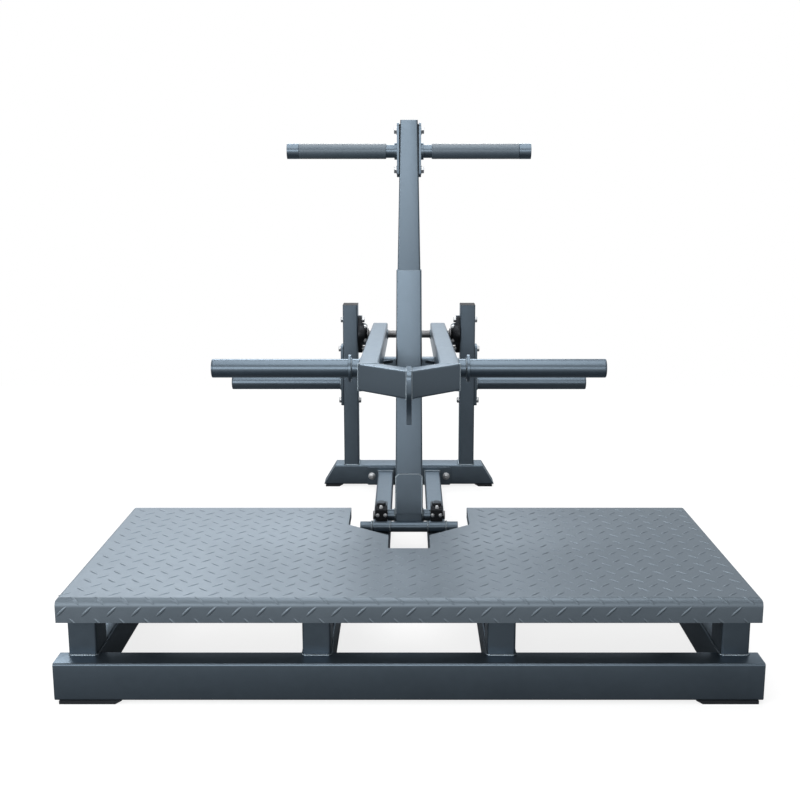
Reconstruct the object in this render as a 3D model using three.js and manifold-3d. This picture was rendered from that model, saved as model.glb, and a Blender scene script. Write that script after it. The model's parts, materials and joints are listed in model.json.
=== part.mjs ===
import * as THREE from 'three';
import { mergeVertices } from 'three/addons/utils/BufferGeometryUtils.js';
import Module from 'manifold-3d';

// Belt squat machine: a raised tread-plate platform with a notch, two floor beams that run back to a
// pair of towers, a weight lever hinged between the towers, and a hinged handle column that holds the
// lever up on a catch. Millimetres, +X to the right, +Y to the rear, +Z up.
// Stations are distances behind the front face of the platform, along Y.

const wasm = await Module();
wasm.setup();

// Shared sizes
const clearance = 0.3;
const runningGap = 0.8;
const boltGap = 0.6;
const overrun = 5;
const wall = 3;
const tubeRadius = 5;
const footThickness = 8;
const capThickness = 4;
const drainDiameter = 8;

// Platform frame
const platformWidth = 1440;
const deckSideInset = 12;
const deckFrontHalf = platformWidth / 2 - deckSideInset;
const frontRailDepth = 60;
const railHeight = 80;
const postWidth = 58;
const postDepth = 80;
const postSetback = 42;
const endPostInset = 10;
const endPostOuter = deckFrontHalf - endPostInset;
const rearPostInset = 12;
const midBeamInner = 160.5;

// Deck plate
const deckRearShare = 0.983;
const deckDepth = 632;
const deckTop = 225;
const deckThickness = 4;
const deckFoldHeight = 50;
const frontBendRadius = 18;
const sideBendRadius = 8;
const notchHalf = 146;
const notchStraight = 140;
const slotHalf = 48;
const slotShoulder = 82;
const slotLength = 94;
const lipHeight = 26;

// Feet
const railFootLength = 128;
const railFootInset = 9;
const footChamfer = 14;
const towerFootLength = 60;
const towerFootInset = 6;

// Floor beams and their joint to the tower base
const spineInner = 53.5;
const spineWidth = 51.5;
const spineHeight = 50;
const endPlateHalf = 142;
const endPlateHeight = 62;
const endPlateThickness = 8;
const endPlateBoltX = 126.5;

// Tower base and towers
const baseStation = 1628;
const baseDepth = 75;
const baseHeight = 68;
const baseTopHalf = 250;
const baseBottomHalf = 291;
const towerInner = 171;
const towerWidth = 50;
const towerDepth = 70;
const towerTop = 623;

// Lever
const leverPivotHeight = 522;
const leverTilt = THREE.MathUtils.degToRad(2.7);
const leverRailOuter = 123;
const leverTubeWidth = 50;
const leverTubeHeight = 65;
const leverReach = 1113;
const leverTail = 66;
const veeReach = 147;
const shaftDiameter = 25;
const crossReach = 566;
const crossDepth = 40;
const crossHeight = 40;
const crossDrop = 33.5;
const gussetLeg = 26;
const gussetThickness = 8;

// Hook plate at the nose of the lever
const hookThickness = 12;
const hookNose = 25;
const hookRise = 4;
const hookDrop = 92;
const hookFrontDrop = 12;
const hookFootLength = 30;
const hookFootSetback = 10;
const hookEyeDiameter = 18;
const hookEyeLift = 18;

// Horns for weight plates
const hornDiameter = 48;
const hornWall = 3.5;
const weightHornReach = 933;
const weightHornTip = 505;
const collarDiameter = 70;
const collarThickness = 7;
const collarOffset = 25;
const storageHornHeight = 357;
const storageHornTip = 600;
const hornCapDome = 3;
const storagePlateBottom = 282;
const storagePlateTop = 486;
const storagePlateThickness = 8;
const storagePlateWidth = 64;
const storageBoltHeight = 296;

// Two-bolt flange bearing
const flangeThickness = 13;
const flangeCentreRadius = 33;
const flangeEndRadius = 14;
const flangeBoltPitch = 99;
const bossRadius = 29;
const bossLength = 27;
const ringOuterRadius = 20;
const ringLength = 34;
const shaftEndInset = 2;

// Handle column
const columnStation = 997;
const columnPivotHeight = 93;
const columnLean = THREE.MathUtils.degToRad(6);
const upperLean = THREE.MathUtils.degToRad(2);
const columnDepth = 60;
const upperDepth = 54;
const columnFootWidth = 78;
const lowerTopWidth = 70;
const upperFootWidth = 64;
const upperTopWidth = 48;
const footBelowPivot = 27;
const lowerLength = 699;
const upperLength = 410;
const hubDiameter = 34;
const hubHalf = 61.5;

// Catch on the back of the column
const catchWidth = 50;
const catchReach = 52;
const catchHeight = 92;
const catchTipHeight = 18;
const catchCheek = 8;
const catchSaddle = 9;
const catchGap = 0.5;

// Foot bearing blocks and the stop bar
const blockWidth = 34;
const blockLength = 62;
const blockHeight = 70;
const blockCornerRadius = 14;
const blockBoltOffset = 21;
const stopBarDiameter = 30;
const stopBarHalf = 138;

// Handle
const handleHeight = 327;
const handlePlateHeight = 146;
const handlePlateWidth = 50;
const handlePlateThickness = 6;
const handlePlateLowering = 3;
const handleBoltSpread = 107;
const handleBoltShares = [-0.5, 0.5];
const barDiameter = 36;
const barTip = 337;
const gripDiameter = 42;
const gripStart = 63;
const gripEnd = 304;
const rootRingDiameter = 46;
const rootRingLength = 7;

// Fasteners: shank diameter, head width across corners and head height
const m16 = { shank: 16, head: 27, height: 10 };
const m12 = { shank: 12, head: 21, height: 8 };
const m10 = { shank: 10, head: 18.5, height: 6.5 };

// Derived stations and heights
const railTop = footThickness + railHeight;
const deckUnderside = deckTop - deckThickness;
const rearRailStation = deckDepth - frontRailDepth;
const spineTop = footThickness + spineHeight;
const towerStation = baseStation + baseDepth / 2;
const towerOuter = towerInner + towerWidth;
const baseTop = footThickness + baseHeight;
const leverRailInner = leverRailOuter - leverTubeWidth;
const veeAngle = Math.atan2(leverRailOuter, veeReach);
const bearingBoltTop = leverPivotHeight + flangeBoltPitch / 2;
const bearingBoltLow = leverPivotHeight - flangeBoltPitch / 2;

const steel = new THREE.MeshStandardMaterial({ color: 0x4b5763, roughness: 0.42, metalness: 0.35 });
const tread = new THREE.MeshStandardMaterial({ color: 0x59646f, roughness: 0.5, metalness: 0.3 });
const rubber = new THREE.MeshStandardMaterial({ color: 0x151618, roughness: 0.85, metalness: 0 });
const blackIron = new THREE.MeshStandardMaterial({ color: 0x17191b, roughness: 0.55, metalness: 0.5 });
const zinc = new THREE.MeshStandardMaterial({ color: 0xb9bec2, roughness: 0.3, metalness: 0.9 });
const bright = new THREE.MeshStandardMaterial({ color: 0x9a9fa3, roughness: 0.28, metalness: 0.95 });

const machine = new THREE.Group();
const lever = new THREE.Group();
const column = new THREE.Group();
const upperColumn = new THREE.Group();
machine.add(lever, column);
column.add(upperColumn);

// Joins and cuts
function solidOf(geometry) {
  const bare = geometry.clone();
  bare.deleteAttribute('normal');
  bare.deleteAttribute('uv');
  const merged = mergeVertices(bare, 1e-4);
  const mesh = new wasm.Mesh({
    numProp: 3,
    vertProperties: new Float32Array(merged.attributes.position.array),
    triVerts: new Uint32Array(merged.index.array),
  });
  mesh.merge();
  return new wasm.Manifold(mesh);
}

function geometryOf(solid) {
  const mesh = solid.getMesh();
  const geometry = new THREE.BufferGeometry();
  geometry.setAttribute('position', new THREE.BufferAttribute(mesh.vertProperties, 3));
  geometry.setIndex(new THREE.BufferAttribute(mesh.triVerts, 1));
  return geometry;
}

function joined(...geometries) {
  return geometryOf(geometries.map(solidOf).reduce((sum, solid) => sum.add(solid)));
}

function cut(geometry, ...tools) {
  return geometryOf(tools.map(solidOf).reduce((rest, tool) => rest.subtract(tool), solidOf(geometry)));
}

function common(first, second) {
  return geometryOf(solidOf(first).intersect(solidOf(second)));
}

function add(name, geometry, material, parent = machine) {
  const mesh = new THREE.Mesh(geometry, material);
  mesh.name = name;
  parent.add(mesh);
  return mesh;
}

// Profiles
function roundedRectangle(width, height, radius) {
  const shape = new THREE.Shape();
  const x = width / 2 - radius;
  const y = height / 2 - radius;
  shape.absarc(x, y, radius, 0, Math.PI / 2);
  shape.absarc(-x, y, radius, Math.PI / 2, Math.PI);
  shape.absarc(-x, -y, radius, Math.PI, 1.5 * Math.PI);
  shape.absarc(x, -y, radius, 1.5 * Math.PI, 2 * Math.PI);
  return shape;
}

function polygon(points) {
  return new THREE.Shape(points.map(([x, y]) => new THREE.Vector2(x, y)));
}

// A hole in a profile, its flats just outside the stated diameter
function roundHole(x, y, diameter, sides = 16) {
  const radius = diameter / 2 / Math.cos(Math.PI / sides);
  const points = Array.from({ length: sides }, (_, index) => {
    const angle = (2 * Math.PI * index) / sides;
    return new THREE.Vector2(x + radius * Math.cos(angle), y + radius * Math.sin(angle));
  });
  return new THREE.Path(points);
}

function plate(shape, thickness, segments = 6) {
  return new THREE.ExtrudeGeometry(shape, { depth: thickness, bevelEnabled: false, curveSegments: segments });
}

// A rectangular tube along +Z from 0 to length. Its ends can be mitred or capped, and its section can taper.
function tube({
  width, height, length, endWidth = width, startMitre = [0, 0], endMitre = [0, 0], caps = [false, false],
}) {
  const shaped = (geometry) => {
    const place = geometry.attributes.position;
    for (let i = 0; i < place.count; i += 1) {
      const share = place.getZ(i) / length;
      const x = place.getX(i) * (1 + (endWidth / width - 1) * share);
      const y = place.getY(i);
      const startShift = (1 - share) * (startMitre[0] * x + startMitre[1] * y);
      const endShift = share * (endMitre[0] * x + endMitre[1] * y);
      place.setXYZ(i, x, y, place.getZ(i) + startShift + endShift);
    }
    return geometry;
  };
  const hollowStart = caps[0] ? capThickness : -overrun;
  const hollowEnd = caps[1] ? length - capThickness : length + overrun;
  const outer = plate(roundedRectangle(width, height, tubeRadius), length, 3);
  const inner = block(width - 2 * wall, height - 2 * wall, hollowEnd - hollowStart)
    .translate(0, 0, (hollowStart + hollowEnd) / 2);
  return cut(shaped(outer), shaped(inner));
}

// A tube across the machine with welded end caps and a drain hole in its underside
function railAlongX({ half, station, height, depth, tall }) {
  const rail = tube({ width: tall, height: depth, length: 2 * half, caps: [true, true] })
    .rotateY(Math.PI / 2)
    .translate(-half, station + depth / 2, height + tall / 2);
  const drain = rodAlongZ(height - overrun, height + 2 * wall, drainDiameter, 12)
    .translate(0, station + depth / 2, 0);
  return cut(rail, drain);
}

function tubeAlongY({ left, width, start, end, height, tall }) {
  return tube({ width, height: tall, length: end - start })
    .rotateX(-Math.PI / 2)
    .translate(left + width / 2, start, height + tall / 2);
}

function tubeAlongZ({ left, width, station, depth, bottom, top, caps }) {
  return tube({ width, height: depth, length: top - bottom, caps })
    .translate(left + width / 2, station + depth / 2, bottom);
}

function block(width, depth, height) {
  return new THREE.BoxGeometry(width, depth, height);
}

function rodAlongX(start, end, diameter, sides = 24) {
  return new THREE.CylinderGeometry(diameter / 2, diameter / 2, end - start, sides)
    .rotateZ(-Math.PI / 2)
    .translate((start + end) / 2, 0, 0);
}

function rodAlongZ(bottom, top, diameter, sides = 16) {
  return new THREE.CylinderGeometry(diameter / 2, diameter / 2, top - bottom, sides)
    .rotateX(Math.PI / 2)
    .translate(0, 0, (bottom + top) / 2);
}

// A round part turned about X: the profile lists distance along X and radius.
function turnedAboutX(profile, sides = 24) {
  const points = profile.map(([along, radius]) => new THREE.Vector2(radius, along));
  return new THREE.LatheGeometry(points, sides).rotateZ(-Math.PI / 2);
}

function ringAboutX(start, end, innerDiameter, outerDiameter, sides = 24) {
  const inner = innerDiameter / 2;
  const outer = outerDiameter / 2;
  return turnedAboutX([[start, inner], [start, outer], [end, outer], [end, inner], [start, inner]], sides);
}

function mirrored(geometry) {
  const copy = geometry.clone().scale(-1, 1, 1);
  const flat = copy.index ? copy.toNonIndexed() : copy;
  const place = flat.attributes.position;
  const turned = new Float32Array(place.count * 3);
  for (let i = 0; i < place.count; i += 3) {
    [0, 2, 1].forEach((from, to) => {
      turned[(i + to) * 3] = place.getX(i + from);
      turned[(i + to) * 3 + 1] = place.getY(i + from);
      turned[(i + to) * 3 + 2] = place.getZ(i + from);
    });
  }
  const result = new THREE.BufferGeometry();
  result.setAttribute('position', new THREE.BufferAttribute(turned, 3));
  return result;
}

// A hexagon bolt along X, with its head outside start and a nut outside end.
function boltAlongX(size, start, end, y, z) {
  const head = rodAlongX(start - size.height, start, size.head, 6);
  const shank = rodAlongX(start - size.height / 2, end + size.height, size.shank, 12);
  const nut = rodAlongX(end, end + size.height, size.head, 6);
  return joined(head, shank, nut).translate(0, y, z);
}

function boreAlongX(start, end, diameter, y, z, sides = 12) {
  return rodAlongX(start - overrun, end + overrun, diameter + 2 * boltGap, sides).translate(0, y, z);
}

// Platform frame
function buildPlatformFrame() {
  const rail = { height: footThickness, depth: frontRailDepth, tall: railHeight };
  add('front_rail', railAlongX({ half: platformWidth / 2, station: 0, ...rail }), steel);

  const sideInner = endPostOuter - postWidth;
  const lefts = [-endPostOuter, -midBeamInner - postWidth, midBeamInner, sideInner];
  const upright = { width: postWidth, top: deckUnderside - clearance };
  lefts.forEach((left, index) => {
    const bottom = railTop + clearance;
    add(`front_post_${index + 1}`, tubeAlongZ({
      left, station: postSetback, depth: postDepth, bottom, ...upright,
    }), steel);
  });
  const rearLefts = [lefts[0] + rearPostInset, lefts[1], lefts[2], lefts[3] - rearPostInset];
  const rearPosts = rearLefts.map((left) => tubeAlongZ({
    left, station: rearRailStation, depth: frontRailDepth, bottom: railTop - wall / 2, ...upright,
  }));
  add('rear_rail', joined(railAlongX({ half: endPostOuter, station: rearRailStation, ...rail }), ...rearPosts), steel);

  const lengthwise = { start: frontRailDepth + clearance, end: rearRailStation - clearance };
  for (const [side, sign] of [['left', -1], ['right', 1]]) {
    const place = (inner) => (sign > 0 ? inner : -inner - postWidth);
    add(`side_rail_${side}`, tubeAlongY({
      left: place(sideInner), width: postWidth, ...lengthwise, height: footThickness, tall: railHeight,
    }), steel);
    add(`mid_beam_${side}`, tubeAlongY({
      left: place(midBeamInner), width: postWidth, ...lengthwise, height: footThickness, tall: railHeight,
    }), steel);
  }
}

// Deck plate: a folded tray with a rounded front edge, a notch and a slot for the lever
function notchOutline(grow, rearEnd) {
  const shoulder = deckDepth - notchStraight;
  const slotStart = shoulder - slotShoulder;
  const slotEnd = slotStart - slotLength;
  const wide = notchHalf + grow;
  const narrow = slotHalf + grow;
  return polygon([
    [-wide, rearEnd],
    [-wide, shoulder - grow / 2],
    [-narrow, slotStart - grow / 2],
    [-narrow, slotEnd - grow],
    [narrow, slotEnd - grow],
    [narrow, slotStart - grow / 2],
    [wide, shoulder - grow / 2],
    [wide, rearEnd],
  ]);
}

function trayBody(inset, bottom, rearEnd) {
  const top = deckTop - inset;
  const front = new THREE.Shape();
  const frontRadius = frontBendRadius - inset;
  front.moveTo(inset, bottom);
  front.lineTo(rearEnd, bottom);
  front.lineTo(rearEnd, top);
  front.absarc(frontBendRadius, top - frontRadius, frontRadius, Math.PI / 2, Math.PI);
  const half = deckFrontHalf - inset;
  const sideRadius = sideBendRadius - inset;
  const across = new THREE.Shape();
  across.moveTo(-half, bottom);
  across.lineTo(half, bottom);
  across.absarc(half - sideRadius, top - sideRadius, sideRadius, 0, Math.PI / 2);
  across.absarc(-half + sideRadius, top - sideRadius, sideRadius, Math.PI / 2, Math.PI);
  const lengthwise = plate(front, 2 * deckFrontHalf + 2 * overrun, 5)
    .rotateX(Math.PI / 2)
    .rotateZ(Math.PI / 2)
    .translate(-deckFrontHalf - overrun, 0, 0);
  const crosswise = plate(across, rearEnd + overrun, 3)
    .rotateX(Math.PI / 2)
    .translate(0, rearEnd, 0);
  return common(lengthwise, crosswise);
}

function buildDeck() {
  const bottom = deckTop - deckFoldHeight;
  const tray = cut(trayBody(0, bottom, deckDepth), trayBody(deckThickness, bottom - overrun, deckDepth + overrun));
  const lip = plate(notchOutline(deckThickness, deckDepth), lipHeight).translate(0, 0, deckTop - lipHeight);
  const notch = plate(notchOutline(0, deckDepth + overrun), deckFoldHeight + 2 * overrun)
    .translate(0, 0, bottom - overrun);
  const deck = cut(joined(tray, lip), notch);
  const place = deck.attributes.position;
  for (let i = 0; i < place.count; i += 1) {
    const x = place.getX(i);
    const spare = Math.max(Math.abs(x) - notchHalf - deckThickness, 0);
    const narrowing = spare * (1 - deckRearShare) * (place.getY(i) / deckDepth);
    place.setX(i, x - Math.sign(x) * narrowing);
  }
  add('deck_plate', deck, tread);
}

// Feet
function chamferedFoot(length, depth) {
  const height = footThickness - clearance;
  const chamfer = Math.min(footChamfer, length / 3);
  const shape = polygon([[0, 0], [length - chamfer, 0], [length, height], [0, height]]);
  return plate(shape, depth).rotateX(Math.PI / 2).translate(0, depth, 0);
}

function buildFeet() {
  const frontFoot = mirrored(chamferedFoot(railFootLength, frontRailDepth))
    .translate(platformWidth / 2 - railFootInset, 0, 0);
  const rearFoot = mirrored(chamferedFoot(railFootLength, frontRailDepth))
    .translate(endPostOuter - railFootInset, rearRailStation, 0);
  const towerFoot = mirrored(chamferedFoot(towerFootLength, baseDepth))
    .translate(baseBottomHalf - towerFootInset, baseStation, 0);
  for (const [name, foot] of [['front', frontFoot], ['rear', rearFoot], ['tower', towerFoot]]) {
    add(`${name}_foot_left`, mirrored(foot), rubber);
    add(`${name}_foot_right`, foot, rubber);
  }
}

// Floor beams, end plate and stop bar
function buildSpine() {
  const start = deckDepth + clearance;
  const end = baseStation - endPlateThickness - 2 * clearance;
  const boltHole = (x, y) => rodAlongZ(spineTop - 2 * wall, spineTop + overrun, m10.shank + 2 * boltGap, 12)
    .translate(x, y, 0);
  const boltX = spineInner + spineWidth / 2;
  const beam = cut(
    tubeAlongY({ left: spineInner, width: spineWidth, start, end, height: footThickness, tall: spineHeight }),
    boltHole(boltX, columnStation - blockBoltOffset),
    boltHole(boltX, columnStation + blockBoltOffset),
  );
  add('spine_beam_left', mirrored(beam), steel);
  add('spine_beam_right', beam, steel);

  const plateStation = baseStation - endPlateThickness - clearance;
  const boltHeight = footThickness + endPlateHeight / 2;
  const shape = roundedRectangle(2 * endPlateHalf, endPlateHeight, tubeRadius);
  shape.holes.push(...[-endPlateBoltX, endPlateBoltX].map((x) => roundHole(x, 0, m16.shank + 2 * boltGap)));
  add('spine_end_plate', plate(shape, endPlateThickness, 3)
    .rotateX(Math.PI / 2)
    .translate(0, plateStation + endPlateThickness, boltHeight), steel);

  const headBack = plateStation - clearance;
  const bolt = joined(
    rodAlongX(headBack - m16.height, headBack, m16.head, 6),
    rodAlongX(headBack - m16.height / 2, baseStation + 3 * wall, m16.shank, 12),
  ).rotateZ(Math.PI / 2).translate(endPlateBoltX, 0, boltHeight);
  add('end_plate_bolt_left', mirrored(bolt), zinc);
  add('end_plate_bolt_right', bolt, zinc);

  const leanReach = columnDepth / 2 + stopBarDiameter / 2 + catchGap;
  const barHeight = spineTop + clearance + stopBarDiameter / 2;
  const barDrop = columnPivotHeight - barHeight;
  const barStation = columnStation - (leanReach + barDrop * Math.sin(columnLean)) / Math.cos(columnLean);
  add('stop_bar', rodAlongX(-stopBarHalf, stopBarHalf, stopBarDiameter, 20)
    .translate(0, barStation, barHeight), steel);
}

// Tower base, towers and their caps
function buildTowers() {
  const halfAt = (height) => baseBottomHalf
    - (baseBottomHalf - baseTopHalf) * ((height - footThickness) / baseHeight);
  const middle = footThickness + baseHeight / 2;
  const half = halfAt(middle);
  const slant = (baseBottomHalf - baseTopHalf) / baseHeight;
  const boltHeight = footThickness + endPlateHeight / 2;
  const frontHole = (x) => rodAlongX(-overrun, 2 * wall, m16.shank + 2 * boltGap, 12)
    .rotateZ(Math.PI / 2)
    .translate(x, baseStation, boltHeight);
  const body = tube({
    width: baseHeight,
    height: baseDepth,
    length: 2 * half,
    startMitre: [-slant, 0],
    endMitre: [slant, 0],
    caps: [true, true],
  }).rotateY(Math.PI / 2).translate(-half, baseStation + baseDepth / 2, middle);
  add('tower_base', cut(body, frontHole(-endPlateBoltX), frontHole(endPlateBoltX)), steel);

  const tower = cut(
    tubeAlongZ({
      left: towerInner,
      width: towerWidth,
      station: towerStation - towerDepth / 2,
      depth: towerDepth,
      bottom: baseTop + clearance,
      top: towerTop,
      caps: [false, true],
    }),
    ...[bearingBoltTop, bearingBoltLow, storageBoltHeight]
      .map((z) => boreAlongX(towerInner, towerOuter, m12.shank, towerStation, z)),
  );
  add('tower_left', mirrored(tower), steel);
  add('tower_right', tower, steel);
}

// Two-bolt flange bearings on the inner faces of the towers
function flangeShape() {
  const reach = flangeBoltPitch / 2;
  const lean = Math.asin((flangeCentreRadius - flangeEndRadius) / reach);
  const shape = new THREE.Shape();
  shape.absarc(0, 0, flangeCentreRadius, -lean, lean);
  shape.absarc(0, reach, flangeEndRadius, lean, Math.PI - lean);
  shape.absarc(0, 0, flangeCentreRadius, Math.PI - lean, Math.PI + lean);
  shape.absarc(0, -reach, flangeEndRadius, Math.PI + lean, 2 * Math.PI - lean);
  shape.holes.push(...[reach, -reach].map((y) => roundHole(0, y, m12.shank + 2 * boltGap)));
  return shape;
}

function buildBearings() {
  const face = towerInner - clearance;
  const flange = plate(flangeShape(), flangeThickness)
    .rotateX(Math.PI / 2)
    .rotateZ(-Math.PI / 2)
    .translate(face, 0, 0);
  const taper = bossLength - flangeThickness;
  const boss = turnedAboutX([
    [face - bossLength, 0],
    [face - bossLength, bossRadius - taper / 2],
    [face - bossLength + taper / 4, bossRadius - taper / 4],
    [face - flangeThickness, bossRadius],
    [face - flangeThickness / 2, bossRadius],
    [face - flangeThickness / 2, 0],
  ]);
  const bore = rodAlongX(face - bossLength - overrun, face + overrun, 2 * (ringOuterRadius + runningGap));
  const housing = cut(joined(flange, boss), bore).translate(0, towerStation, leverPivotHeight);
  add('lever_bearing_left', mirrored(housing), blackIron);
  add('lever_bearing_right', housing, blackIron);

  const inner = face - flangeThickness - clearance;
  const outer = towerOuter + clearance;
  const plateFace = outer + storagePlateThickness + clearance;
  const top = boltAlongX(m12, inner, outer, towerStation, bearingBoltTop);
  const low = boltAlongX(m12, inner, plateFace, towerStation, bearingBoltLow);
  add('bearing_bolt_left', mirrored(top), zinc);
  add('bearing_bolt_right', top, zinc);
  add('shared_bolt_left', mirrored(low), zinc);
  add('shared_bolt_right', low, zinc);
}

// Storage horns on plates bolted to the outer faces of the towers
function hornTube(start, tip) {
  const rim = hornDiameter / 2;
  const outside = turnedAboutX([
    [start, 0],
    [start, rim],
    [tip - hornCapDome, rim],
    [tip - hornCapDome / 2, rim - hornCapDome / 3],
    [tip, rim - 2 * hornCapDome],
    [tip, 0],
  ]);
  return cut(outside, rodAlongX(start - overrun, tip - hornCapDome - capThickness, hornDiameter - 2 * hornWall));
}

function buildStorageHorns() {
  const inner = towerOuter + clearance;
  const tall = storagePlateTop - storagePlateBottom;
  const middle = (storagePlateTop + storagePlateBottom) / 2;
  const shape = roundedRectangle(storagePlateWidth, tall, tubeRadius);
  const holeHeights = [bearingBoltLow, storageBoltHeight];
  shape.holes.push(...holeHeights.map((height) => roundHole(0, height - middle, m12.shank + 2 * boltGap)));
  const mount = plate(shape, storagePlateThickness, 3)
    .rotateX(Math.PI / 2)
    .rotateZ(Math.PI / 2)
    .translate(inner, towerStation, middle);
  add('storage_plate_left', mirrored(mount), steel);
  add('storage_plate_right', mount, steel);

  const root = inner + storagePlateThickness + clearance;
  const horn = hornTube(root, storageHornTip).translate(0, towerStation, storageHornHeight);
  add('storage_horn_left', mirrored(horn), steel);
  add('storage_horn_right', horn, steel);
  const bolt = boltAlongX(m12, towerInner - clearance, root, towerStation, storageBoltHeight);
  add('horn_plate_bolt_left', mirrored(bolt), zinc);
  add('horn_plate_bolt_right', bolt, zinc);
}

// Lever: everything here is placed from the pivot axis, with Y along the rails
function buildLeverFrame() {
  const railMiddle = leverRailOuter - leverTubeWidth / 2;
  const mitre = Math.tan(veeAngle / 2);
  const frontMiddle = -leverReach + (leverTubeWidth / 2) * mitre;
  const rail = cut(
    tube({
      width: leverTubeWidth,
      height: leverTubeHeight,
      length: leverTail - frontMiddle,
      startMitre: [-mitre, 0],
      caps: [false, true],
    }).rotateX(-Math.PI / 2).translate(railMiddle, frontMiddle, 0),
    boreAlongX(leverRailInner, leverRailOuter, shaftDiameter, 0, 0, 20),
  );
  add('lever_rail_left', mirrored(rail), steel, lever);
  add('lever_rail_right', rail, steel, lever);

  // The nose arms run from the hook plate out to the rails, mitred at both ends.
  const nose = -leverReach - veeReach;
  const slope = 1 / Math.tan(veeAngle);
  const side = hookThickness / 2 + clearance;
  const startAlong = side / Math.sin(veeAngle);
  const armLength = Math.hypot(leverRailOuter, veeReach);
  const half = leverTubeWidth / 2;
  const arm = tube({
    width: leverTubeWidth,
    height: leverTubeHeight,
    length: armLength - clearance - startAlong + half * (-mitre - slope),
    startMitre: [-slope, 0],
    endMitre: [mitre, 0],
  })
    .translate(-half, 0, startAlong + half * slope)
    .rotateX(-Math.PI / 2)
    .rotateZ(-veeAngle)
    .translate(0, nose, 0);
  add('lever_nose_right', arm, steel, lever);
  add('lever_nose_left', mirrored(arm), steel, lever);
}

function buildHook() {
  const nose = -leverReach - veeReach;
  const half = leverTubeHeight / 2;
  const apex = nose + leverTubeWidth / Math.sin(veeAngle);
  const top = half + hookRise;
  const front = nose - hookNose;
  const foot = nose + hookFootSetback;
  const heel = foot + hookFootLength;
  const shape = new THREE.Shape();
  shape.moveTo(apex, top);
  shape.lineTo(nose, top);
  shape.quadraticCurveTo(front, top, front, half / 2);
  shape.lineTo(front, -hookFrontDrop);
  shape.bezierCurveTo(front, -half - hookRise, foot, -half, foot, -hookDrop);
  shape.lineTo(heel, -hookDrop);
  shape.lineTo(heel, -hookDrop + hookFootLength);
  shape.quadraticCurveTo(heel + hookRise, -half - hookRise, apex, -half - hookRise);
  shape.holes.push(roundHole((foot + heel) / 2, -hookDrop + hookEyeLift, hookEyeDiameter));
  add('lever_hook', plate(shape, hookThickness, 8)
    .rotateX(Math.PI / 2)
    .rotateZ(Math.PI / 2)
    .translate(-hookThickness / 2, 0, 0), steel, lever);
}

function buildCrossmember() {
  const half = leverRailInner - clearance;
  const beam = tube({ width: crossHeight, height: crossDepth, length: 2 * half })
    .rotateY(Math.PI / 2)
    .translate(-half, -crossReach, -crossDrop);
  const gusset = plate(polygon([[0, 0], [gussetLeg, 0], [0, gussetLeg]]), gussetThickness)
    .rotateZ(Math.PI)
    .translate(half, -crossReach - crossDepth / 2 + clearance / 2, -gussetThickness - crossHeight / 2);
  add('lever_crossmember', joined(beam, gusset, mirrored(gusset)), steel, lever);
}

function buildLeverShaft() {
  const end = towerInner - clearance - shaftEndInset;
  const ring = rodAlongX(towerInner - ringLength, end, 2 * ringOuterRadius);
  add('lever_shaft', joined(rodAlongX(-end, end, shaftDiameter), ring, mirrored(ring)), bright, lever);
}

function buildWeightHorns() {
  const collarStart = leverRailOuter + collarOffset;
  const collar = ringAboutX(collarStart, collarStart + collarThickness, hornDiameter - hornWall, collarDiameter, 28);
  const horn = joined(hornTube(leverRailOuter + clearance, weightHornTip), collar).translate(0, -weightHornReach, 0);
  add('weight_horn_left', mirrored(horn), steel, lever);
  add('weight_horn_right', horn, steel, lever);
}

// Column: everything here is placed from its foot axis, with Z along the lower half
function catchRadius() {
  const y = -crossReach - crossDepth / 2;
  const z = -crossDrop - crossHeight / 2;
  const station = towerStation + y * Math.cos(leverTilt) + z * Math.sin(leverTilt);
  const height = leverPivotHeight - y * Math.sin(leverTilt) + z * Math.cos(leverTilt);
  return Math.hypot(station - columnStation, height - columnPivotHeight) - catchGap;
}

function buildColumn() {
  const bendMitre = Math.tan((columnLean - upperLean) / 2);
  const hubBore = boreAlongX(-columnFootWidth / 2, columnFootWidth / 2, hubDiameter, 0, 0, 24);
  add('column_lower', cut(
    tube({
      width: columnFootWidth,
      height: columnDepth,
      endWidth: lowerTopWidth,
      length: footBelowPivot + lowerLength - clearance,
      endMitre: [0, bendMitre],
    }).translate(0, 0, -footBelowPivot),
    hubBore,
  ), steel, column);

  const bore = boreAlongX(-hubHalf, hubHalf, shaftDiameter, 0, 0, 24);
  add('column_hub', cut(rodAlongX(-hubHalf, hubHalf, hubDiameter), bore), steel, column);
  const shaftHalf = spineInner + spineWidth - shaftEndInset;
  add('column_shaft', rodAlongX(-shaftHalf, shaftHalf, shaftDiameter), bright, column);

  upperColumn.position.set(0, 0, lowerLength);
  upperColumn.rotation.x = columnLean - upperLean;
  const boltHeights = handleBoltShares.map((share) => handleHeight + handlePlateLowering + share * handleBoltSpread);
  add('column_upper', cut(
    tube({
      width: upperFootWidth,
      height: upperDepth,
      endWidth: upperTopWidth,
      length: upperLength,
      startMitre: [0, -bendMitre],
      caps: [false, true],
    }),
    ...boltHeights.map((z) => boreAlongX(-upperFootWidth / 2, upperFootWidth / 2, m12.shank, 0, z)),
  ), steel, upperColumn);
}

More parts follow.
